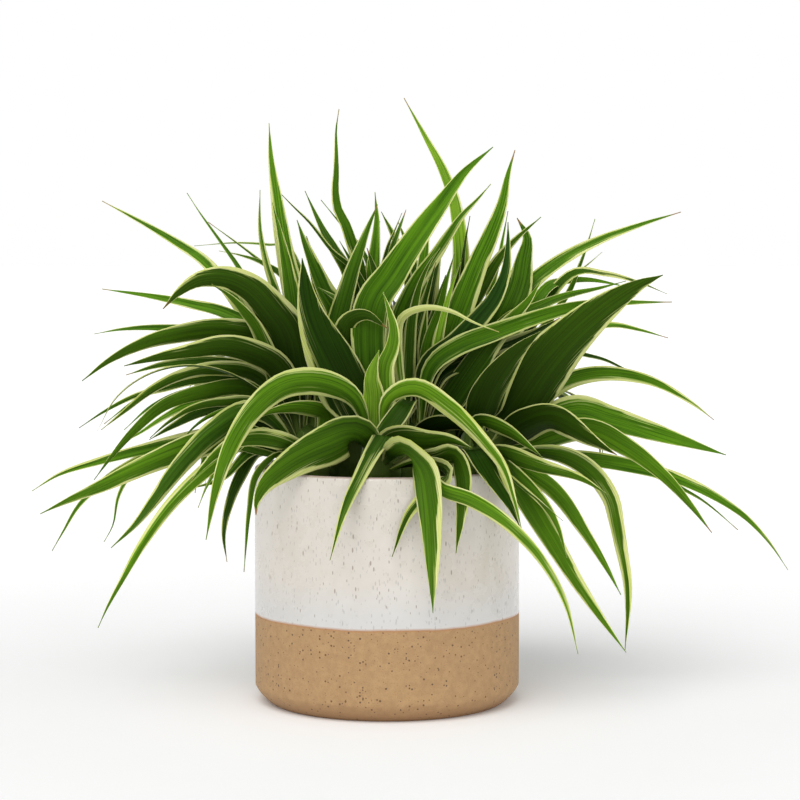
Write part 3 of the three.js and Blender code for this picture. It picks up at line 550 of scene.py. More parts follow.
# %% [markdown]
# ## Leaves: what was seen
#
# Each leaf that shows in the photograph is a list of pixels along its midrib,
# from crown to tip, with its greatest width in millimetres and how far in front
# of the pot's axis its first and last pixels lie. A pixel and that distance
# give one point in space. Where a leaf had to give way to a neighbour, it was
# nudged along the line of sight, so that it still looks the same from here. The
# list is chosen, and the solids were made from the same one.

# %% Crowns and seen leaves
CROWNS = {
    "front": (-4, -34), "centre": (14, -2), "left": (-44, -6),
    "right": (50, -10), "back_left": (-24, 34), "back_right": (32, 30),
}

# Greatest width, (distance of first pixel, of last pixel), midrib pixels, and for some the twist.
SEEN_LEAVES = {
    "front": {
        "broad_over_rim": (23, (64, 70), [
            (352, 438), (330, 446), (307, 456), (285, 469), (266, 485), (257, 502), (256, 515)]),
        "broad_cream": (27, (32, 27), [
            (335, 372), (322, 345), (311, 318), (305, 290), (302, 258)]),
        "broad_right": (18, (24, 10), [
            (372, 308), (392, 275), (415, 240), (441, 204), (465, 172), (493, 147)]),
        "arch_left": (14, (48, 66), [
            (352, 398), (320, 383), (285, 386), (255, 409), (232, 445), (216, 490), (206, 540)]),
        "front_droop": (19, (76, 90), [
            (407, 457), (421, 474), (427, 502), (431, 550), (433, 614)]),
        "light_arch": (10, (48, 84), [
            (388, 400), (415, 388), (450, 409), (480, 438), (503, 468), (514, 500), (522, 531)]),
        "short_droop": (13, (72, 84), [
            (454, 457), (462, 476), (462, 503), (456, 553)]),
        "toward_right": (15, (60, 74), [
            (395, 440), (425, 441), (450, 440), (472, 448)]),
        "white_margin": (10, (44, 88), [
            (410, 405), (394, 424), (377, 448), (361, 477), (344, 513), (330, 561)]),
        "over_heart": (18, (24, 34), [
            (343, 350), (348, 322), (365, 315), (387, 328)]),
        "behind_droop": (10, (79, 84), [
            (448, 474), (425, 495), (408, 515), (392, 557)]),
        "long_narrow": (8, (82, 78), [
            (440, 489), (470, 500), (505, 522), (540, 558), (565, 602), (578, 654)]),
        "heart": (10, (34, 30), [
            (385, 368), (392, 348), (394, 330), (389, 310), (383, 292)]),
        "heart_young": (12, (38, 40), [
            (374, 396), (372, 376), (379, 350)]),
    },
    "centre": {
        "tall_twisted": (15, (-6, -14), [
            (455, 325), (468, 290), (479, 262), (491, 235), (502, 205), (508, 175), (515, 150)]),
        "blue_green": (13, (8, 2), [
            (430, 368), (455, 345), (478, 320), (494, 300), (505, 275), (508, 250), (508, 222)]),
        "dark_right": (13, (8, 16), [
            (435, 375), (460, 360), (495, 348), (530, 335), (560, 318)]),
        "long_right": (10, (12, 24), [
            (431, 368), (455, 348), (495, 332), (535, 318), (575, 307), (615, 303), (672, 302)]),
        "slender_right": (11, (-8, -18), [
            (398, 330), (408, 300), (420, 278), (435, 257), (449, 235), (463, 215), (477, 200),
            (491, 184)]),
        "narrow_arch": (5, (20, 48), [
            (398, 345), (402, 318), (424, 308), (450, 311), (475, 323), (499, 332)]),
        "inner_left": (7, (4, 8), [
            (410, 350), (413, 315), (420, 285), (430, 262), (440, 248)]),
        "inner_right": (7, (0, 4), [
            (428, 345), (440, 310), (447, 280), (455, 252)]),
        "short_right": (15, (6, 2), [
            (490, 345), (512, 319), (529, 300), (541, 281)], 8),
        "pale_thin": (6, (2, -4), [
            (438, 345), (446, 307), (453, 283), (461, 262)], -5),
        "fill_left": (9, (-4, -10), [
            (412, 345), (420, 315), (429, 285), (436, 262)], 10),
        "low_fill": (14, (22, 36), [
            (430, 430), (452, 424), (478, 434)], 6),
    },
    "right": {
        "very_broad": (29, (12, 20), [
            (520, 405), (538, 378), (560, 350), (585, 325), (612, 303), (640, 285), (663, 275)]),
        "broad_up": (20, (22, 30), [
            (483, 415), (490, 395), (503, 372), (520, 350), (541, 331)]),
        "broad_dark": (20, (24, 44), [
            (530, 425), (552, 420), (590, 440), (617, 455)]),
        "level_long": (16, (4, -10), [
            (575, 411), (610, 419), (650, 431), (695, 445), (726, 455)]),
        "arch_down": (13, (16, 30), [
            (585, 430), (625, 447), (660, 473), (690, 505), (712, 533)]),
        "rim_dark": (14, (58, 72), [
            (478, 452), (495, 480), (510, 505), (520, 527)]),
        "hang_inner": (13, (38, 56), [
            (500, 465), (525, 500), (548, 538), (575, 582), (600, 618), (626, 653)]),
        "arch_back": (10, (-16, -40), [
            (560, 385), (600, 374), (650, 381), (690, 402), (714, 420)]),
        "twisted_hang": (10, (26, 16), [
            (560, 455), (590, 471), (610, 498), (616, 522), (621, 548), (627, 580), (628, 606),
            (625, 650)]),
        "longest": (8, (-4, -28), [
            (570, 457), (620, 464), (683, 481), (740, 513), (768, 541), (788, 570)]),
        "front_level": (10, (44, 66), [
            (500, 453), (540, 466), (580, 478), (608, 495)]),
        "front_short": (10, (36, 58), [
            (480, 423), (505, 430), (527, 445), (543, 458)]),
        "hang_outer": (9, (30, 34), [
            (520, 467), (555, 492), (583, 530), (605, 565), (621, 595)]),
        "hang_short": (8, (46, 66), [
            (515, 473), (545, 505), (558, 528), (567, 558)]),
        "hang_thin": (4, (54, 76), [
            (508, 475), (538, 500), (563, 521)]),
    },
    "back_right": {
        "hooked": (23, (-24, -40), [
            (508, 312), (519, 286), (524, 260), (527, 237), (517, 218)]),
        "fill_middle": (14, (-14, -20), [
            (462, 335), (458, 305), (456, 282), (462, 258)], -8),
        "low_behind": (15, (-44, -58), [
            (452, 440), (480, 430), (515, 432), (545, 445)], 5),
        "tall_light": (10, (-30, -52), [
            (458, 300), (461, 262), (459, 230), (454, 200), (442, 168), (426, 138), (404, 98)]),
        "far_right": (10, (-34, -66), [
            (525, 292), (545, 272), (570, 255), (600, 240), (640, 225), (681, 212)]),
        "reach_right": (8, (-22, -34), [
            (505, 322), (535, 308), (565, 296), (600, 288), (626, 281)]),
        "level_right": (8, (-30, -74), [
            (545, 290), (561, 282), (590, 280), (628, 287)]),
        "bow_right": (7, (-40, -90), [
            (570, 275), (605, 274), (640, 283), (667, 294)]),
        "low_right": (7, (-26, -60), [
            (590, 330), (612, 325), (640, 330), (668, 338)]),
        "tip_up": (11, (-26, -58), [
            (468, 312), (483, 285), (499, 258), (517, 238), (541, 217)]),
        "thin_up": (5, (-44, -70), [
            (567, 295), (578, 270), (587, 245), (595, 219)]),
        "thin_hook": (5, (-40, -60), [
            (560, 285), (583, 270), (602, 253)]),
        "thin_low": (4, (-22, -50), [
            (560, 350), (585, 355), (605, 360), (629, 371), (655, 379)]),
        "thread_right": (4, (-36, -70), [
            (640, 470), (690, 493), (710, 506), (738, 530)]),
        "small_one": (5, (-30, -50), [
            (463, 260), (466, 238), (470, 216)]),
        "small_two": (5, (-36, -60), [
            (498, 262), (503, 238), (508, 211)]),
    },
    "back_left": {
        "tall_cream": (13, (-26, -44), [
            (295, 300), (285, 255), (280, 225), (275, 190), (271, 160), (269, 123)]),
        "dark_up": (15, (-20, -30), [
            (338, 315), (325, 290), (313, 262), (304, 240), (297, 220)]),
        "straight_up": (12, (-34, -46), [
            (372, 285), (375, 250), (377, 220), (375, 192)]),
        "curled": (8, (-30, -36), [
            (360, 285), (358, 265), (352, 245), (344, 222), (338, 211), (335, 192), (336, 171),
            (336, 150), (336, 130), (339, 109)]),
        "leaning": (9, (-40, -70), [
            (350, 280), (334, 249), (323, 230), (314, 211), (305, 191)]),
        "far_left": (9, (-46, -80), [
            (230, 292), (205, 262), (180, 245), (150, 227), (102, 201)]),
        "edge_left": (7, (-30, -54), [
            (278, 330), (277, 300), (266, 262), (260, 230), (260, 190)]),
        "low_left": (6, (-40, -76), [
            (290, 285), (264, 264), (239, 255), (219, 251)]),
        "thin_high": (4, (-40, -62), [
            (358, 285), (331, 255), (310, 227), (292, 208), (274, 188)]),
        "thin_mid": (4, (-50, -84), [
            (370, 272), (355, 240), (340, 223), (321, 200)]),
        "thin_out": (4, (-40, -70), [
            (258, 300), (237, 265), (220, 241), (200, 213), (187, 193)]),
        "thin_flat": (4, (-50, -96), [
            (290, 250), (268, 245), (235, 243), (194, 246)]),
        "thin_pale": (3.5, (-44, -88), [
            (285, 280), (264, 264), (241, 246), (208, 222)]),
        "small_one": (5, (-30, -44), [
            (387, 250), (395, 230), (402, 213)]),
        "stripe_back": (5, (-24, -34), [
            (240, 386), (206, 380), (170, 384), (136, 400), (104, 424)]),
    },
    "left": {
        "broad_arch": (22, (6, 12), [
            (288, 338), (270, 310), (249, 288), (225, 278), (198, 280), (178, 293), (163, 309)]),
        "blue_broad": (13, (24, 56), [
            (255, 412), (215, 432), (180, 467), (155, 500), (135, 525), (111, 548)]),
        "level_broad": (14, (-6, -10), [
            (275, 345), (245, 333), (210, 330), (175, 335), (145, 343), (110, 360), (82, 381)]),
        "level_dark": (14, (12, 24), [
            (280, 370), (252, 352), (222, 346), (190, 351), (155, 358), (124, 366)]),
        "long_low": (14, (20, 34), [
            (250, 435), (200, 445), (150, 464), (100, 487), (65, 502), (40, 514)]),
        "long_hang": (8, (34, 66), [
            (255, 435), (215, 463), (175, 500), (145, 540), (122, 580), (106, 610), (98, 628)]),
        "olive_rim": (11, (42, 50), [
            (290, 445), (262, 438), (235, 442), (212, 458), (190, 482)]),
        "up_left": (11, (0, -16), [
            (257, 330), (244, 312), (228, 295), (211, 284)]),
        "dark_short": (10, (28, 42), [
            (325, 415), (300, 408), (270, 412), (255, 420)]),
        "reach_high": (8, (-16, -50), [
            (260, 335), (225, 313), (190, 304), (150, 296), (102, 289)]),
        "reach_left": (7, (-20, -64), [
            (250, 352), (205, 333), (165, 328), (125, 329), (94, 334)]),
        "bow_left": (9, (-14, -36), [
            (250, 372), (205, 362), (165, 364), (126, 375)]),
        "bow_low": (9, (0, 6), [
            (260, 378), (220, 369), (180, 376), (150, 391), (125, 411), (101, 430)]),
        "thin_bow": (6, (-24, -46), [
            (235, 380), (195, 380), (165, 388), (135, 396), (105, 411), (79, 428)]),
        "arch_down": (9, (6, 30), [
            (250, 390), (205, 392), (165, 405), (135, 430), (112, 456), (94, 480)]),
        "arch_short": (7, (-10, -30), [
            (225, 398), (190, 405), (165, 417), (140, 433), (119, 445)]),
        "olive_left": (11, (-4, -20), [
            (240, 403), (205, 410), (175, 425), (149, 440)]),
        "low_left": (8, (-8, -34), [
            (240, 432), (200, 437), (150, 448), (100, 461), (60, 474), (32, 491)]),
        "hang_left": (6, (-20, -50), [
            (175, 448), (120, 470), (81, 503), (63, 532), (52, 551)]),
        "hang_back": (5, (-24, -40), [
            (180, 445), (135, 470), (119, 495), (113, 525), (104, 542)]),
        "side_dark": (8, (-20, -24), [
            (258, 452), (240, 478), (228, 510), (224, 535), (227, 562)]),
        "rim_thin": (4, (40, 44), [
            (275, 456), (256, 476), (249, 512), (246, 545), (244, 572)]),
        "side_short": (6, (-4, 0), [
            (255, 450), (223, 478), (190, 489)]),
        "side_thin": (4, (-12, -30), [
            (214, 446), (200, 470), (195, 493)]),
        "stripe_high": (5, (4, -8), [
            (258, 396), (222, 390), (186, 392), (152, 406), (124, 430)]),
        "stripe_middle": (6, (14, 10), [
            (256, 404), (222, 402), (190, 409), (166, 424), (150, 438)]),
        "stripe_low": (4, (20, 18), [
            (262, 412), (236, 409), (212, 415), (193, 428), (180, 444)]),
        "stripe_down": (5, (30, 44), [
            (262, 432), (240, 444), (222, 462), (207, 486), (198, 508)]),
    },
}
print("seen leaves:", {crown: len(seen) for crown, seen in SEEN_LEAVES.items()})

# %% [markdown]
# ## Leaves: what is grown by rule
#
# The back of the plant isn't in the photograph, so its leaves fan out by rule.
# Successive headings are spread by the golden section, which never repeats,
# and length, width and droop are drawn at random. Blender's own hair or
# particles could fill a plant too, but here each leaf must match its solid, so
# the same simple random numbers are drawn in the same order.

# %% Grown leaves
# Count, middle heading in degrees from +X, and spread to either side.
INNER = {
    "front": (2, 95, 60), "centre": (3, 90, 110), "left": (3, 95, 80),
    "right": (3, 85, 80), "back_left": (2, 100, 120), "back_right": (2, 80, 120),
}
UPRIGHT = {
    "centre": (3, 95, 50), "left": (2, 80, 60), "right": (2, 95, 50),
    "back_left": (4, 90, 95), "back_right": (4, 90, 95),
}
HIDDEN = {
    "back_left": (9, 108, 58), "back_right": (9, 72, 58), "centre": (2, 90, 60),
    "left": (2, 120, 40), "right": (2, 62, 38),
}
# Each kind: its fans, ranges of length, width, first slope and droop, and how far it faces the viewer.
KINDS = {
    "inner": (INNER, ((75, 105), (10, 15), (74, 86), (25, 70)), 0.5),
    "upright": (UPRIGHT, ((95, 140), (10, 17), (78, 88), (8, 36)), 0.5),
    "hidden": (HIDDEN, ((105, 185), (8, 15), (50, 66), (105, 165)), 0.0),
}

draw_state = [20240611]


def draw(low=0.0, high=1.0):
    """The next random number: a linear congruential generator, from low to high."""
    draw_state[0] = (draw_state[0] * 1664525 + 1013904223) % 2 ** 32
    return low + (high - low) * draw_state[0] / 2 ** 32


def leaf_list():
    """All leaves as dictionaries, with their random twist and form."""
    leaves = []
    for crown in CROWNS:
        for name, (wide, near, seen, *turn) in SEEN_LEAVES[crown].items():
            leaves.append(dict(
                crown=crown, name=name, wide=wide, near=near, seen=seen,
                face=0.85, twist=math.radians(turn[0] if turn else draw(-18, 18))))
    for kind, (fans, ranges, face) in KINDS.items():
        for crown, (count, toward, spread) in fans.items():
            for i in range(count):
                share = (i * 0.618034 + 0.31) % 1
                long, wide, rise, bow = (draw(*limits) for limits in ranges)
                leaves.append(dict(
                    crown=crown, name=f"{kind}_{i}", toward=toward + spread * (2 * share - 1),
                    long=long, wide=wide, rise=rise, bow=bow, face=face, twist=math.radians(draw(-40, 40))))
    return leaves


LEAVES = leaf_list()
print(len(LEAVES), "leaves,", sum("seen" in leaf for leaf in LEAVES), "of them seen")

# %% [markdown]
# ## Midribs
#
# A midrib is a smooth curve through a few points: a centripetal Catmull-Rom
# spline, which passes through each point and doesn't overshoot between points
# of uneven spacing. It is sampled densely and measured, so that any share of
# its length can be looked up.

# %% Midrib points
ROOT_LOW, ROOT_HIGH, ROOT_OFFSET = 133.0, 152.0, 6.0
RIM_PASS = 7.0
GROWN_POINTS = 7
RIM_PASS_ROOM = 8.0


def sighted(pixels, near):
    """Points shown by pixels, each `near` millimetres in front of the pot's axis.

    The ray through a pixel is (right, cos d + up sin d, up cos d - sin d), where
    d is the camera's tilt; it is followed until its y is minus `near`.
    """
    pixels = np.asarray(pixels, float)
    right = (pixels[:, 0] - MIDDLE_PX) / FOCAL_PX
    up = (MIDDLE_PX - pixels[:, 1]) / FOCAL_PX
    cos, sin = math.cos(VIEW_DOWN), math.sin(VIEW_DOWN)
    ray = np.stack([right, cos + up * sin, up * cos - sin], -1)
    reach = (VIEW_DISTANCE - np.asarray(near)) / ray[:, 1]
    return np.array([VIEW_ASIDE, -VIEW_DISTANCE, VIEW_HEIGHT]) + ray * reach[:, None]


def seen_midrib(leaf, root):
    """Points of a seen leaf, nudged along the line of sight more towards the tip."""
    count = len(leaf["seen"])
    near = np.linspace(*leaf["near"], count)
    near = near + leaf["bend"] * (np.arange(1, count + 1) / count) ** 1.5
    return np.vstack([root, sighted(leaf["seen"], near)])


def grown_midrib(leaf, root):
    """Equal steps whose slope falls from `rise` by `bow` times the share of the way to the power 1.3."""
    share = (np.arange(GROWN_POINTS) + 0.5) / GROWN_POINTS
    slope = np.radians(leaf["rise"] - leaf["bow"] * share ** 1.3)
    heading = math.radians(leaf["toward"] + leaf["bend"])
    step = leaf["long"] / GROWN_POINTS
    flat = step * np.cos(slope)
    steps = np.stack([flat * math.cos(heading), flat * math.sin(heading), step * np.sin(slope)], -1)
    return np.vstack([root, root + np.cumsum(steps, 0)])


def over_rim(points):
    """Adds a point above the pot's rim if the leaf leaves the pot before its first seen point."""
    root, first = points[0], points[1]
    from_axis = np.hypot(points[:2, 0], points[:2, 1])
    if from_axis[1] < INNER_RADIUS:
        return points
    share = (INNER_RADIUS - from_axis[0]) / (from_axis[1] - from_axis[0])
    over = root + (first - root) * share
    over[2] = max(over[2], POT_HEIGHT + RIM_PASS)
    if math.hypot(over[0], over[1]) + RIM_PASS_ROOM > from_axis[1]:
        return points
    return np.vstack([root, over, points[1:]])


def midrib_points(leaf):
    """The midrib's points: the root steps out of the crown, higher the steeper the leaf starts."""
    midrib = seen_midrib if "seen" in leaf else grown_midrib
    x, y = CROWNS[leaf["home"]]
    root = np.array([x, y, ROOT_LOW], float)
    toward = midrib(leaf, root)[1] - root
    flat = math.hypot(toward[0], toward[1])
    climb = math.atan2(toward[2], flat) / (math.pi / 2)
    root[:2] += toward[:2] / flat * ROOT_OFFSET
    root[2] += (ROOT_HIGH - ROOT_LOW) * min(max(climb, 0), 1)
    points = over_rim(midrib(leaf, root))
    count = len(points)
    points[1:, 2] += leaf["lift"] * (1 - np.arange(count - 1) / (count - 1))
    return points


# %% Smooth curves
DENSE = 60


def spline(points):
    """Dense points on the centripetal Catmull-Rom curve through the given ones.

    Between two points the curve is a cubic whose end slopes come from the
    neighbours, with time between points going as the root of their distance.
    """
    ends = np.vstack([2 * points[0] - points[1], points, 2 * points[-1] - points[-2]])
    x0, x1, x2, x3 = ends[:-3], ends[1:-2], ends[2:-1], ends[3:]
    d0, d1, d2 = (np.sqrt(np.linalg.norm(b - a, axis=1))[:, None] for a, b in ((x0, x1), (x1, x2), (x2, x3)))
    slope1 = ((x1 - x0) / d0 - (x2 - x0) / (d0 + d1) + (x2 - x1) / d1) * d1
    slope2 = ((x2 - x1) / d1 - (x3 - x1) / (d1 + d2) + (x3 - x2) / d2) * d1
    t = (np.arange(DENSE) / DENSE)[None, :, None]
    a, b, c, d = (v[:, None, :] for v in (
        x1, slope1, -3 * x1 + 3 * x2 - 2 * slope1 - slope2, 2 * x1 - 2 * x2 + slope1 + slope2))
    curve = (a + b * t + c * t ** 2 + d * t ** 3).reshape(-1, 3)
    return np.vstack([curve, points[-1]])


def unit(v):
    """Vectors of length one."""
    return v / np.maximum(np.linalg.norm(v, axis=-1, keepdims=True), 1e-12)


def measured(curve, u):
    """Points and unit tangents at the shares u of the curve's length, and the length."""
    steps = np.linalg.norm(np.diff(curve, axis=0), axis=1)
    along = np.concatenate([[0], np.cumsum(steps)])
    tangent = unit(np.gradient(curve, axis=0))
    at = np.stack([np.interp(u * along[-1], along, curve[:, k]) for k in range(3)], -1)
    aim = np.stack([np.interp(u * along[-1], along, tangent[:, k]) for k in range(3)], -1)
    return at, unit(aim), along[-1]


print("the picture's middle shows", sighted([(MIDDLE_PX, MIDDLE_PX)], 0).round(1)[0], "mm")

# %% [markdown]
# ## Blades
#
# A spider plant's blade is a strap, folded into a gutter where it leaves the
# crown and opening as it goes. So each blade is a surface of two parameters, u
# along the midrib and t across from edge to edge, carried by a frame that
# turns with the leaf. It has an upper and a lower skin less than half a
# millimetre apart, meeting in thin edges, so it is closed like a real leaf.

# %% Blade outline
WIDTH_ALLOWANCE = 1.15
ROOT_SHARE = 0.3
TIP_WIDTH = 0.5


def smoothstep(x, low, high):
    """An eased step from 0 at low to 1 at high."""
    x = np.clip((x - low) / (high - low), 0, 1)
    return x * x * (3 - 2 * x)


def width_share(u):
    """Share of the greatest width: swelling from the root, then tapering to the tip."""
    taper = np.maximum(0, (u - 0.34) / 0.66) ** 1.4
    return (ROOT_SHARE + (1 - ROOT_SHARE) * smoothstep(u, 0, 0.32)) * (1 - taper)


def fold_angle(u):
    """Angle of each half blade to the plane between them: 46 degrees at the root, 12 further out."""
    return np.radians(12 + 34 * (1 - smoothstep(u, 0, 0.3)))


def half_width(leaf, u):
    """Half the blade's width at the shares u of its length."""
    return np.maximum(TIP_WIDTH, leaf["wide"] * WIDTH_ALLOWANCE * width_share(u)) / 2


print("width shares:", width_share(np.linspace(0, 1, 6)).round(2))

# %% Blade frame
FACING_STATIONS = 20


def facing_angles(curve, side, face, twist):
    """How far the blade turns about its midrib: partly to the viewer, plus its own twist, smoothed."""
    u = np.linspace(0, 1, FACING_STATIONS + 1)
    _, along, _ = measured(curve, u)
    top = unit(np.cross(along, side))
    across = np.cross(along, top)
    viewer = np.array([0.0, -1.0, 0.0])
    turns = np.arctan2(across @ viewer, top @ viewer)
    before = 0.0
    for i in range(len(turns)):
        turns[i] -= math.pi * np.round((turns[i] - before) / math.pi)
        before = turns[i]
    angles = face * turns * (1 - (along @ viewer) ** 2) + twist * u
    for _ in range(3):
        wide = np.concatenate([angles[:1], angles, angles[-1:]])
        angles = (wide[:-2] + 2 * wide[1:-1] + wide[2:]) / 4
    return angles


def blade_frame(leaf, u):
    """Points of the midrib at u, the directions across and out of the blade there, and the length."""
    curve = spline(midrib_points(leaf))
    heading = curve[-1, :2] - curve[0, :2]
    heading = np.array([*heading, 0.0]) / np.hypot(*heading)
    side = np.cross([0.0, 0.0, 1.0], heading)
    angles = facing_angles(curve, side, leaf["face"], leaf["twist"])
    at, along, length = measured(curve, u)
    top = unit(np.cross(along, side))
    angle = np.interp(u, np.linspace(0, 1, FACING_STATIONS + 1), angles)[:, None]
    cross = np.cross(along, top)
    top = top * np.cos(angle) + cross * np.sin(angle)
    return at, np.cross(along, top), top, length


# %% Blade surface
STATIONS = 40
ACROSS = 9
THICK_MIDDLE, THICK_EDGE = 0.5, 0.2
# How uneven the width is, how high the edges ripple, and how round the gutter's bottom is.
UNEVEN, RIPPLE, BOWL = 0.02, 0.035, 0.03


def blade_grid(leaf, random):
    """The closed blade as a grid of rings, with the numbers its colours need."""
    u = np.linspace(0, 1, STATIONS)
    at, across, top, length = blade_frame(leaf, u)

    # Half the width, a little uneven, and each edge waves gently up and down.
    half = half_width(leaf, u) * (1 + UNEVEN * np.sin(u * length / 9 + random.uniform(0, 6)))
    half = half[:, None]
    fold = fold_angle(u)[:, None]
    t = np.sin(np.linspace(-1, 1, ACROSS) * math.pi / 2)
    t = np.concatenate([t, t[::-1]])[None, :]
    skin = np.where(np.arange(2 * ACROSS) < ACROSS, 1.0, -1.0)[None, :]
    # A gutter with a rounded bottom: the root of (t squared plus a little) instead of |t|.
    bowl = (np.sqrt(t ** 2 + BOWL) - math.sqrt(BOWL)) / (math.sqrt(1 + BOWL) - math.sqrt(BOWL))
    wave = np.sin(u * length / random.uniform(14, 26) + random.uniform(0, 6))[:, None]
    sway = np.sin(u * length / random.uniform(14, 26) + random.uniform(0, 6))[:, None]
    ripple = RIPPLE * half * np.where(t > 0, wave, sway) * t ** 2 * smoothstep(u, 0.1, 0.35)[:, None]
    thick = (THICK_EDGE + (THICK_MIDDLE - THICK_EDGE) * (1 - t ** 2)) * np.minimum(1, half / 1.6)
    out = np.cos(fold) * half * t
    lift = np.sin(fold) * half * bowl + ripple + skin * thick / 2
    grid = at[:, None, :] + across[:, None, :] * out[..., None] + top[:, None, :] * lift[..., None]
    # Positive t is the picture's right when `across` points to +X in the middle of the leaf.
    right = 1.0 if across[STATIONS // 2, 0] > 0 else -1.0
    return dict(
        grid=grid, t=t + 0 * half, u=u[:, None] + 0 * t, half=half + 0 * t,
        skin=skin + 0 * half, length=length, right=right)


print("a blade has", STATIONS, "rings of", 2 * ACROSS, "points")

# %% [markdown]
# ## Where each leaf ended up
#
# In the solids a leaf that ran into another crown's leaves was bent away,
# lifted, or grown from the next crown, by one of a few set steps. The solids
# remember which: in the right place, the corners of the crown's solid lie along
# the blade's two edges. So crown by crown, the leaf's own first, every bend and
# lift is tried, first by its tip alone, and the one whose edges run nearest to
# the most corners is taken. A list of all the places would do as well, but it
# would be wrong after every change.

# %% Solid corners and how well a blade fits them
# Bends are millimetres along the line of sight, or degrees for a grown leaf; lifts are millimetres.
BENDS = (0, 5, -5, 10, -10, 16, -16, 24, -24, 34, -34)
LIFTS = (0, 2, 4, 7, 10)
SOLID_THICK = 0.6
EDGE_STATIONS = 300
AT_TIP, AT_EDGE = 0.7, 0.5
LEAST_FIT = 6.0


def solid_corners(crown):
    """The corners of a crown's solid in millimetres, each once."""
    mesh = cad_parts[f"rosette_{crown}"].data
    corners = np.empty(len(mesh.vertices) * 3, np.float32)
    mesh.vertices.foreach_get("co", corners)
    return np.unique(np.round(corners.reshape(-1, 3) / MM, 3), axis=0)


def fit_at_edges(leaf, corners):
    """The sum of 1 - distance / AT_EDGE over the corners nearer than AT_EDGE to the blade's edges."""
    u = np.linspace(0, 1, EDGE_STATIONS)
    at, across, top, _ = blade_frame(leaf, u)
    half, fold = half_width(leaf, u), fold_angle(u)
    out = (np.cos(fold) * half)[:, None] * across
    rise = (np.sin(fold) * half)[:, None] * top
    skin = SOLID_THICK / 2 * top
    edges = np.vstack([at + way * out + rise + face * skin for way in (-1, 1) for face in (-1, 1)])
    low, high = edges.min(0) - AT_EDGE, edges.max(0) + AT_EDGE
    inside = corners[np.all((corners > low) & (corners < high), axis=1)]
    apart = np.linalg.norm(inside[:, None, :] - edges[None, :, :], axis=-1).min(1, initial=AT_EDGE)
    return np.sum(1 - np.minimum(1, apart / AT_EDGE))


CORNERS = {crown: solid_corners(crown) for crown in CROWNS}
print("corners of the solids:", {crown: len(corners) for crown, corners in CORNERS.items()})


# %% The place of every leaf
def nearest_crowns(crown):
    """The crowns, from the leaf's own to the one furthest away."""
    x, y = CROWNS[crown]
    return sorted(CROWNS, key=lambda name: math.hypot(CROWNS[name][0] - x, CROWNS[name][1] - y))


def placed_leaf(leaf):
    """The leaf with the crown, bend and lift that its solid shows, or unmoved if it shows none."""
    for home in nearest_crowns(leaf["crown"]):
        corners = CORNERS[home]
        best, found = LEAST_FIT, None
        for lift in LIFTS:
            for bend in BENDS:
                tried = dict(leaf, home=home, bend=bend, lift=lift)
                tip = midrib_points(tried)[-1]
                if np.linalg.norm(corners - tip, axis=1).min() > AT_TIP:
                    continue
                fit = fit_at_edges(tried, corners)
                if fit > best:
                    best, found = fit, tried
        if found:
            return found
    return dict(leaf, home=leaf["crown"], bend=0, lift=0)


LEAVES = [placed_leaf(leaf) for leaf in LEAVES]
moved = sum(leaf["bend"] != 0 or leaf["lift"] != 0 for leaf in LEAVES)
print(moved, "leaves moved,", sum(leaf["home"] != leaf["crown"] for leaf in LEAVES), "grown next door")

# %% [markdown]
# ## How leaves differ
#
# No two leaves of the photograph have the same green. Old broad leaves are
# dark, partly their own deeper green and partly painted shade where other
# leaves shadow them; the youngest are yellow-green, and most carry a cream
# margin, wider on one side. Each leaf's numbers are kept as attributes on its
# points, and one material reads them all, so a single finish gives every leaf
# its own look.

# %% Tones and margins
# Tone runs from 0, dark, to 1, young yellow-green, its dark end partly painted shade; leaves not listed are
# drawn at random.
TONES = {
    "very_broad": 0.10, "broad_up": 0.12, "broad_dark": 0.05, "rim_dark": 0.10, "dark_up": 0.50,
    "dark_right": 0.10, "level_dark": 0.10, "broad_arch": 0.10, "blue_green": 0.22,
    "blue_broad": 0.55, "broad_over_rim": 0.36, "broad_cream": 0.14, "broad_right": 0.50,
    "tall_cream": 0.66, "front_droop": 0.42, "short_droop": 0.28, "toward_right": 0.20,
    "heart": 0.72, "heart_young": 0.92, "light_arch": 0.70, "arch_left": 0.58, "over_heart": 0.2,
    "tall_light": 0.85, "white_margin": 0.24, "tall_twisted": 0.6, "slender_right": 0.5,
    "hooked": 0.45, "short_right": 0.4, "pale_thin": 0.85, "fill_left": 0.3, "fill_middle": 0.2,
    "low_fill": 0.08, "low_behind": 0.05, "long_right": 0.55, "level_long": 0.5, "hang_inner": 0.55,
    "straight_up": 0.6,
}
# How blue some leaves are: partly their own blue-green and partly a painted sheen.
BLUE_AND_SHEEN = {"blue_green": 0.8, "blue_broad": 0.7, "dark_right": 0.3}
# Widths in millimetres of the cream margins on the picture's left and right.
MARGINS = {
    "broad_cream": (3.2, 1.0), "tall_cream": (2.4, 1.4), "white_margin": (1.0, 1.4),
    "over_heart": (1.0, 1.6), "very_broad": (0.8, 1.8), "broad_dark": (1.0, 1.4),
    "broad_over_rim": (1.2, 3.8), "arch_left": (1.2, 2.2), "light_arch": (1.8, 1.2),
    "toward_right": (0.8, 2.4), "front_droop": (1.2, 2.6), "short_droop": (1.4, 1.4),
    "broad_right": (1.0, 1.6), "long_right": (1.0, 1.1), "blue_green": (0.7, 1.2),
    "heart": (0.6, 1.1), "heart_young": (0.5, 1.1), "narrow_arch": (1.8, 1.8),
    "hooked": (1.0, 1.6), "short_right": (0.8, 1.6),
}


def leaf_look(leaf, random):
    """Tone, blueness, the two margin widths in millimetres and how dry the tip is."""
    name = leaf["name"]
    tone = TONES.get(name, random.uniform(0.15, 0.7))
    if name.startswith("inner"):
        tone = random.uniform(0.3, 0.8)
    blue = BLUE_AND_SHEEN.get(name, random.uniform(0, 0.10))
    drawn = random.uniform(0.2, 2.0, 2) * min(1.0, leaf["wide"] / 11)
    left, right = MARGINS.get(name, tuple(drawn))
    dry = random.uniform(0.4, 1.0) if random.random() < 0.35 else 0.0
    return tone, blue, left, right, dry


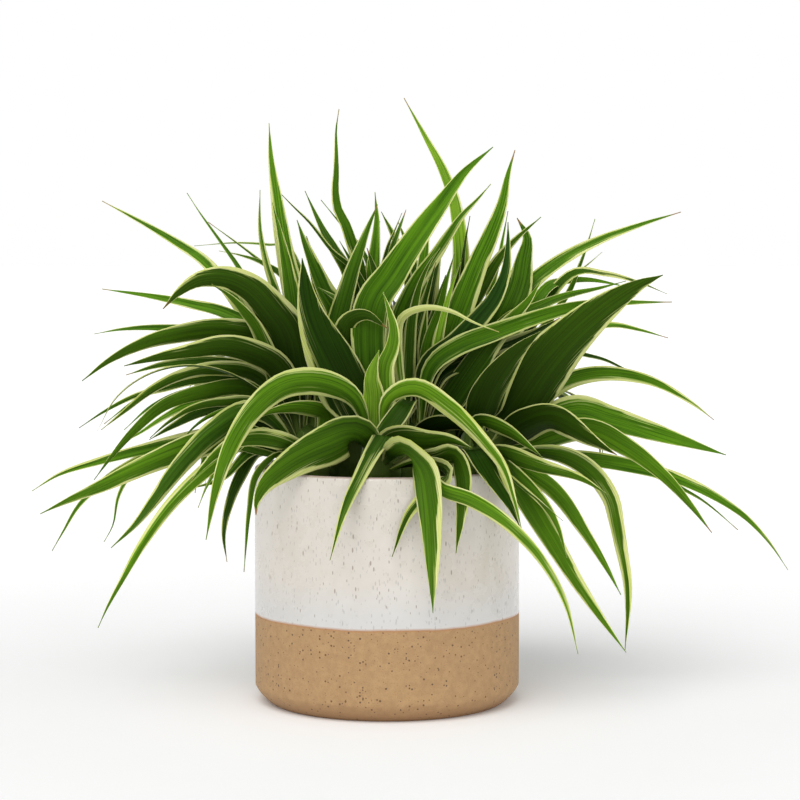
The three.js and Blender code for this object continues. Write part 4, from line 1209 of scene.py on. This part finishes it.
print(len(TONES), "tones and", len(MARGINS), "pairs of margins are set by hand")

# %% Crown sheath
# Radius and height of the crown, from its foot in the soil to its top, in millimetres.
SHEATH_PROFILE = np.array([
    (0, 93.3), (10, 93.3), (10, 121), (10.4, 123), (12.4, 132.4),
    (12.3, 134), (8.2, 151), (7.2, 153), (0, 158)])
SHEATH_SIDES = 44


def sheath(crown):
    """The crown that the leaves grow from: the solid's stub, ribbed like overlapping leaf bases."""
    spans = zip(SHEATH_PROFILE[1:-2], SHEATH_PROFILE[2:-1])
    rings = np.concatenate([np.linspace(a, b, 6)[:-1] for a, b in spans] + [SHEATH_PROFILE[-2:-1]])
    a = np.linspace(0, 2 * np.pi, SHEATH_SIDES, endpoint=False)[None, :]
    radius, height = rings[:, :1], rings[:, 1:]
    ribs = 1 + 0.035 * (np.cos(7 * a + height / 9) - 1) * smoothstep(height, 118, 124)
    x, y = CROWNS[crown]
    grid = np.stack([x + radius * ribs * np.cos(a), y + radius * ribs * np.sin(a), height + 0 * a], -1)
    ends = np.array([[x, y, SHEATH_PROFILE[0, 1]], [x, y, SHEATH_PROFILE[-1, 1]]])
    return grid, ends


print("sheaths stand", SHEATH_PROFILE[:, 1].min(), "to", SHEATH_PROFILE[:, 1].max(), "mm high")

# %% Leaf and sheath with their numbers
POINT_NUMBERS = ("edge", "across_mm", "along_mm", "tone", "blue", "dry", "leaf_number", "skin")
RING = 2 * ACROSS


def leaf_part(leaf, number, random):
    """One leaf's points and quads, with the numbers and the UV of each point."""
    shape = blade_grid(leaf, random)
    tone, blue, left, right, dry = leaf_look(leaf, random)
    t, u, half = shape["t"], shape["u"], shape["half"]
    if shape["right"] < 0:
        left, right = right, left
    margin = np.where(t > 0, right, left) * np.minimum(1, half / (leaf["wide"] * 0.4))
    edge = np.clip((1 - np.abs(t)) * half / np.maximum(margin, 0.05), 0, 6)
    columns = (
        edge, t * half, u * shape["length"], tone + 0 * t, blue + 0 * t, dry + 0 * t,
        number + 0 * t, shape["skin"])
    numbers = np.stack([column.ravel() for column in columns], -1)
    uv = np.stack([t.ravel() * 0.5 + 0.5, u.ravel()], -1)
    # The first and last rings are closed by quads from the upper skin to the lower.
    j = np.arange(ACROSS - 1)
    base = np.stack([j, RING - 1 - j, RING - 2 - j, j + 1], -1)
    tip = (STATIONS - 1) * RING + np.stack([j, j + 1, RING - 2 - j, RING - 1 - j], -1)
    quads = np.concatenate([grid_faces(STATIONS, RING, True), base, tip])
    return shape["grid"].reshape(-1, 3), quads, numbers, uv


def sheath_part(crown):
    """The sheath's points, quads and the triangles at its ends, with the numbers and the UV."""
    grid, ends = sheath(crown)
    rows = len(grid)
    points = np.concatenate([grid.reshape(-1, 3), ends])
    zero = np.zeros(len(points))
    # The sheath has no margin and a light tone, and its millimetres run round it and up it.
    around = np.arctan2(points[:, 1] - CROWNS[crown][1], points[:, 0] - CROWNS[crown][0]) * 8
    up = np.clip(points[:, 2] - 130, 0, 30) * 0.5
    numbers = np.stack([zero + 3, around, up, zero + 0.3, zero, zero, zero + 40, zero + 1], -1)
    k = np.arange(SHEATH_SIDES)
    after = (k + 1) % SHEATH_SIDES
    hub, last = rows * SHEATH_SIDES, (rows - 1) * SHEATH_SIDES
    caps = np.concatenate([
        np.stack([0 * k + hub, after, k], -1), np.stack([0 * k + hub + 1, last + k, last + after], -1)])
    return points, grid_faces(rows, SHEATH_SIDES, True), caps, numbers, np.stack([zero + 0.5, zero], -1)


print(len(POINT_NUMBERS), "numbers on each point")


# %% Rosettes
def build_rosette(crown, material, seed):
    """All leaves of one crown and its sheath as a single piece."""
    random = np.random.default_rng(seed)
    own = [leaf for leaf in LEAVES if leaf["home"] == crown]
    parts = [leaf_part(leaf, number, random) for number, leaf in enumerate(own)]
    points, quads, caps, numbers, uv = sheath_part(crown)
    parts.append((points, quads, numbers, uv))
    # Each part's faces count from its own first point, so they are moved up by the points before.
    starts = np.concatenate([[0], np.cumsum([len(part[0]) for part in parts])])
    piece = make_piece(
        "leaves_" + crown, np.concatenate([part[0] for part in parts]) * MM,
        np.concatenate([part[1] + start for part, start in zip(parts, starts)]), material,
        ["rosette_" + crown], triangles=caps + starts[-2])
    numbers = np.concatenate([part[2] for part in parts])
    for k, name in enumerate(POINT_NUMBERS):
        set_attribute(piece, name, numbers[:, k])
    layer = piece.data.uv_layers.new(name="UVMap")
    corner = np.empty(len(piece.data.loops), np.int32)
    piece.data.loops.foreach_get("vertex_index", corner)
    uv = np.concatenate([part[3] for part in parts])[corner]
    layer.data.foreach_set("uv", uv.astype(np.float32).ravel())
    return piece


# %% [markdown]
# The leaf material works in millimetres across and along each blade. Streaks
# and veins are noise stretched 50 times or more along the leaf. The cream
# margin begins where the distance to the edge, divided by that side's margin
# width, falls below one, and noise lets the width sway along the leaf. Shade
# is painted into the leaves and their margins towards the inside of the plant
# and at the leaf roots, where little light reaches them, and less on young
# leaves. A picture of a leaf could be laid on instead, but then every leaf would
# carry the same marks, and they would blur in a close view.

# %% Leaf colours and effects
# The blue in the mid and young greens is partly a painted sheen on lit leaves.
LEAF_DARK = srgb(20, 50, 0)
LEAF_MID = srgb(74, 119, 20)
LEAF_YOUNG = srgb(118, 158, 46)
LEAF_BLUE = srgb(36, 76, 34)
LEAF_CREAM = srgb(232, 232, 168)
LEAF_CREAM_GREEN = srgb(198, 208, 104)
LEAF_ROOT = srgb(150, 176, 88)
LEAF_UNDER = srgb(92, 118, 28)
LEAF_DRY = srgb(150, 108, 66)
# Factors on the green: in a light streak, in a dark one, and for the painted shade deep inside the plant.
LIGHTENED = (1.9, 1.7, 1.3, 1.0)
DARKENED = (0.42, 0.52, 0.4, 1.0)
PAINTED_SHADE_FACTORS = (0.09, 0.14, 0.04, 1.0)
# Where the painted shade in the plant is deepest, and how far from there it is full and where it ends, in
# metres.
PAINTED_SHADE_CENTRE = (0.0, 0.04, 0.15)
DARK_WITHIN, LIGHT_BEYOND = 0.050, 0.170


def number_of(tree, name):
    """One of the numbers kept on the points."""
    return add_node(tree, "ShaderNodeAttribute", {"attribute_name": name}).outputs["Fac"]


def lengthwise(tree, across_scale, along_scale, detail):
    """Noise in millimetres of the blade, different for each leaf."""
    place = add_node(
        tree, "ShaderNodeCombineXYZ",
        X=maths(tree, "MULTIPLY", number_of(tree, "across_mm"), across_scale),
        Y=maths(tree, "MULTIPLY", number_of(tree, "along_mm"), along_scale),
        Z=maths(tree, "MULTIPLY", number_of(tree, "leaf_number"), 7.31)).outputs[0]
    return add_node(tree, "ShaderNodeTexNoise", Vector=place, Scale=1.0, Detail=detail).outputs["Fac"]


def leaf_green(tree, tone, streak, vein, cloud):
    """The green of a leaf by its tone and blueness, with light and dark streaks, veins and clouds."""
    dark_mid = blend_colour(tree, ramp_between(tree, tone, 0.0, 0.65), LEAF_DARK, LEAF_MID)
    green = blend_colour(tree, ramp_between(tree, tone, 0.6, 1.0), dark_mid, LEAF_YOUNG)
    # Blueness: partly the leaf's own colour and partly a painted sheen.
    green = blend_colour(tree, maths(tree, "MULTIPLY", number_of(tree, "blue"), 0.7), green, LEAF_BLUE)
    lighter = blend_colour(tree, 1.0, green, LIGHTENED, "MULTIPLY")
    darker = blend_colour(tree, 1.0, green, DARKENED, "MULTIPLY")
    broad_streak = lengthwise(tree, 0.45, 0.008, 2.0)
    green = blend_colour(tree, ramp_between(tree, broad_streak, 0.46, 0.60, 0.0, 0.85), green, lighter)
    green = blend_colour(tree, ramp_between(tree, streak, 0.38, 0.54, 0.85, 0.0), green, darker)
    green = blend_colour(tree, ramp_between(tree, vein, 0.50, 0.66, 0.0, 0.55), green, lighter)
    green = blend_colour(tree, ramp_between(tree, cloud, 0.45, 0.75, 0.0, 0.35), green, lighter)
    # The lower skin is a little paler and duller.
    below = ramp_between(tree, number_of(tree, "skin"), 0.5, -0.5, 0.0, 0.16)
    return blend_colour(tree, below, green, LEAF_UNDER)


def painted_inner_shade(tree, tone, along):
    """How much painted shade a point gets: most at the plant's heart and at the leaf roots, and less on young
    leaves.
    """
    place = add_node(tree, "ShaderNodeTexCoord").outputs["Object"]
    away = add_node(
        tree, "ShaderNodeVectorMath", {"operation": "DISTANCE"}, i0=place, i1=PAINTED_SHADE_CENTRE).outputs["Value"]
    painted_shade = ramp_between(tree, away, DARK_WITHIN, LIGHT_BEYOND, 0.92, 0.0)
    painted_shade = maths(tree, "MAXIMUM", painted_shade, ramp_between(tree, along, 15.0, 70.0, 0.8, 0.0))
    return maths(tree, "MULTIPLY", painted_shade, ramp_between(tree, tone, 0.75, 0.45, 0.15, 1.0))


def leaf_cream(tree, streak):
    """Mask of the cream margin, its inner edge feathered by streaks, and of thin lines beside it."""
    sway = ramp_between(tree, lengthwise(tree, 0.07, 0.022, 2.0), 0.36, 0.64, 0.7, 1.8)
    edge = maths(tree, "MULTIPLY", number_of(tree, "edge"), sway)
    feather = maths(tree, "MULTIPLY_ADD", streak, 1.2, -0.6)
    cream = ramp_between(tree, maths(tree, "ADD", edge, feather), 1.15, 0.85, 0.0, 0.95)
    lines = maths(
        tree, "MULTIPLY", ramp_between(tree, streak, 0.56, 0.62), ramp_between(tree, edge, 3.0, 1.2))
    return maths(tree, "MAXIMUM", cream, maths(tree, "MULTIPLY", lines, 0.5))


# %% Leaf material
def build_leaf_material():
    """Green with painted shade deep in the plant, cream margins, a pale root, and a dry tip on some leaves.
    """
    material, tree, shader = new_material("spider_plant_leaf")
    tone, along = number_of(tree, "tone"), number_of(tree, "along_mm")
    streak = lengthwise(tree, 1.3, 0.012, 2.0)
    vein = lengthwise(tree, 4.5, 0.02, 1.0)
    cloud = lengthwise(tree, 0.10, 0.045, 3.0)

    green = leaf_green(tree, tone, streak, vein, cloud)
    # Painted shade: the green darkens deep in the plant and at the leaf roots, where little light reaches.
    painted_shade = painted_inner_shade(tree, tone, along)
    green = blend_colour(tree, painted_shade, green, blend_colour(tree, 1.0, green, PAINTED_SHADE_FACTORS, "MULTIPLY"))
    cream_shade = blend_colour(tree, ramp_between(tree, vein, 0.35, 0.65), LEAF_CREAM_GREEN, LEAF_CREAM)
    colour = blend_colour(tree, leaf_cream(tree, streak), green, cream_shade)
    # Painted shade on the margins: deep in the plant the cream gives way to the shaded green.
    colour = blend_colour(tree, maths(tree, "MULTIPLY", painted_shade, 0.65), colour, green)
    colour = blend_colour(tree, ramp_between(tree, along, 20.0, 2.0, 0.0, 0.25), colour, LEAF_ROOT)
    unrolled = add_node(tree, "ShaderNodeUVMap", {"uv_map": "UVMap"}).outputs[0]
    share = add_node(tree, "ShaderNodeSeparateXYZ", Vector=unrolled).outputs[1]
    tip = ramp_between(tree, maths(tree, "MULTIPLY_ADD", cloud, 0.02, share), 0.965, 0.99)
    colour = blend_colour(tree, maths(tree, "MULTIPLY", tip, number_of(tree, "dry")), colour, LEAF_DRY)
    tree.links.new(colour, shader.inputs["Base Color"])

    rough = maths(tree, "MULTIPLY_ADD", cloud, 0.2, 0.28)
    rough = maths(tree, "ADD", rough, ramp_between(tree, number_of(tree, "skin"), 0.5, -0.5, 0.0, 0.15))
    tree.links.new(rough, shader.inputs["Roughness"])
    # A weak green sheen: a strong white one would wash the dark leaves out.
    shader.inputs["Specular IOR Level"].default_value = 0.14
    shader.inputs["Specular Tint"].default_value = (0.7, 1.0, 0.3, 1.0)
    relief = maths(tree, "MULTIPLY_ADD", vein, 0.5, streak)
    bump = add_node(tree, "ShaderNodeBump", Strength=0.5, Distance=0.0003, Height=relief)
    tree.links.new(bump.outputs[0], shader.inputs["Normal"])
    return material


LEAF_MATERIAL = build_leaf_material()
for seed, crown in enumerate(CROWNS):
    build_rosette(crown, LEAF_MATERIAL, 100 + seed)

# %% [markdown]
# ## Stage
#
# The photograph has soft light from the front left and a seamless pale
# background. Light comes from a dome that is white near the horizon and dimmer
# overhead, because an all-white dome veils dark leaves in grey. Two very soft
# suns give it a direction: a strong one from the front left and a weak one from
# the right. The floor is a plain pale sheet that fades into the white far away.
# Area lamps would do as well, but suns light every view of the plant alike.

# %% Dome and suns
world = bpy.data.worlds.new("studio")
world.use_nodes = True
world_tree = world.node_tree
# Straight up the dome is dim, so that leaves keep their colour; near the horizon it is white.
direction = add_node(world_tree, "ShaderNodeTexCoord").outputs["Generated"]
upward = add_node(world_tree, "ShaderNodeSeparateXYZ", Vector=direction).outputs[2]
dome = ramp_between(world_tree, upward, 0.12, 0.45, 1.0, 0.42)
world_tree.links.new(dome, world_tree.nodes["Background"].inputs[0])
bpy.context.scene.world = world
# Colours are shown as they are, without a film curve, as in a product photograph.
bpy.context.scene.view_settings.view_transform = "Standard"


def add_sun(name, source, strength, softness):
    """A sun shining from a point's direction towards the origin, as soft as its angle is wide."""
    data = bpy.data.lights.new(name, "SUN")
    data.energy = strength
    data.angle = math.radians(softness)
    sun = bpy.data.objects.new(name, data)
    bpy.context.scene.collection.objects.link(sun)
    # A lamp shines along its own -Z: tilt and turn that axis away from the source.
    x, y, z = unit(np.array(source, float))
    sun.rotation_euler = (0.0, math.acos(z), math.atan2(y, x))
    return sun


add_sun("key", (-0.28, -0.72, 1.1), 1.75, 48.0)
add_sun("fill", (0.8, -0.7, 0.6), 0.35, 60.0)
print("suns:", [data.name for data in bpy.data.lights])

# %% Floor
floor_points = np.array([(-40, -40, 0), (40, -40, 0), (40, 40, 0), (-40, 40, 0)], float)
floor_mesh = bpy.data.meshes.new("floor")
floor_mesh.from_pydata(floor_points.tolist(), [], [[0, 1, 2, 3]])
floor = bpy.data.objects.new("floor", floor_mesh)
bpy.context.scene.collection.objects.link(floor)
floor_material, floor_tree, floor_shader = new_material("pale_floor")
floor_place = add_node(floor_tree, "ShaderNodeTexCoord").outputs["Object"]
floor_cloud = mottling(floor_tree, floor_place, 1.5)
floor_tree.links.new(
    blend_colour(floor_tree, floor_cloud, (0.93, 0.93, 0.93, 1.0), (0.95, 0.95, 0.95, 1.0)),
    floor_shader.inputs["Base Color"])
floor_shader.inputs["Roughness"].default_value = 0.9
# Far from the plant the floor gives a little light of its own, and so fades into the white.
floor_far = add_node(
    floor_tree, "ShaderNodeVectorMath", {"operation": "LENGTH"}, i0=floor_place).outputs["Value"]
floor_glow = ramp_between(floor_tree, floor_far, 0.09, 1.0, 0.03, 0.18)
floor_tree.links.new(floor_glow, floor_shader.inputs["Emission Color"])
floor_shader.inputs["Emission Strength"].default_value = 1.0
floor_mesh.materials.append(floor_material)
print("materials:", [m.name for m in bpy.data.materials if m.users])
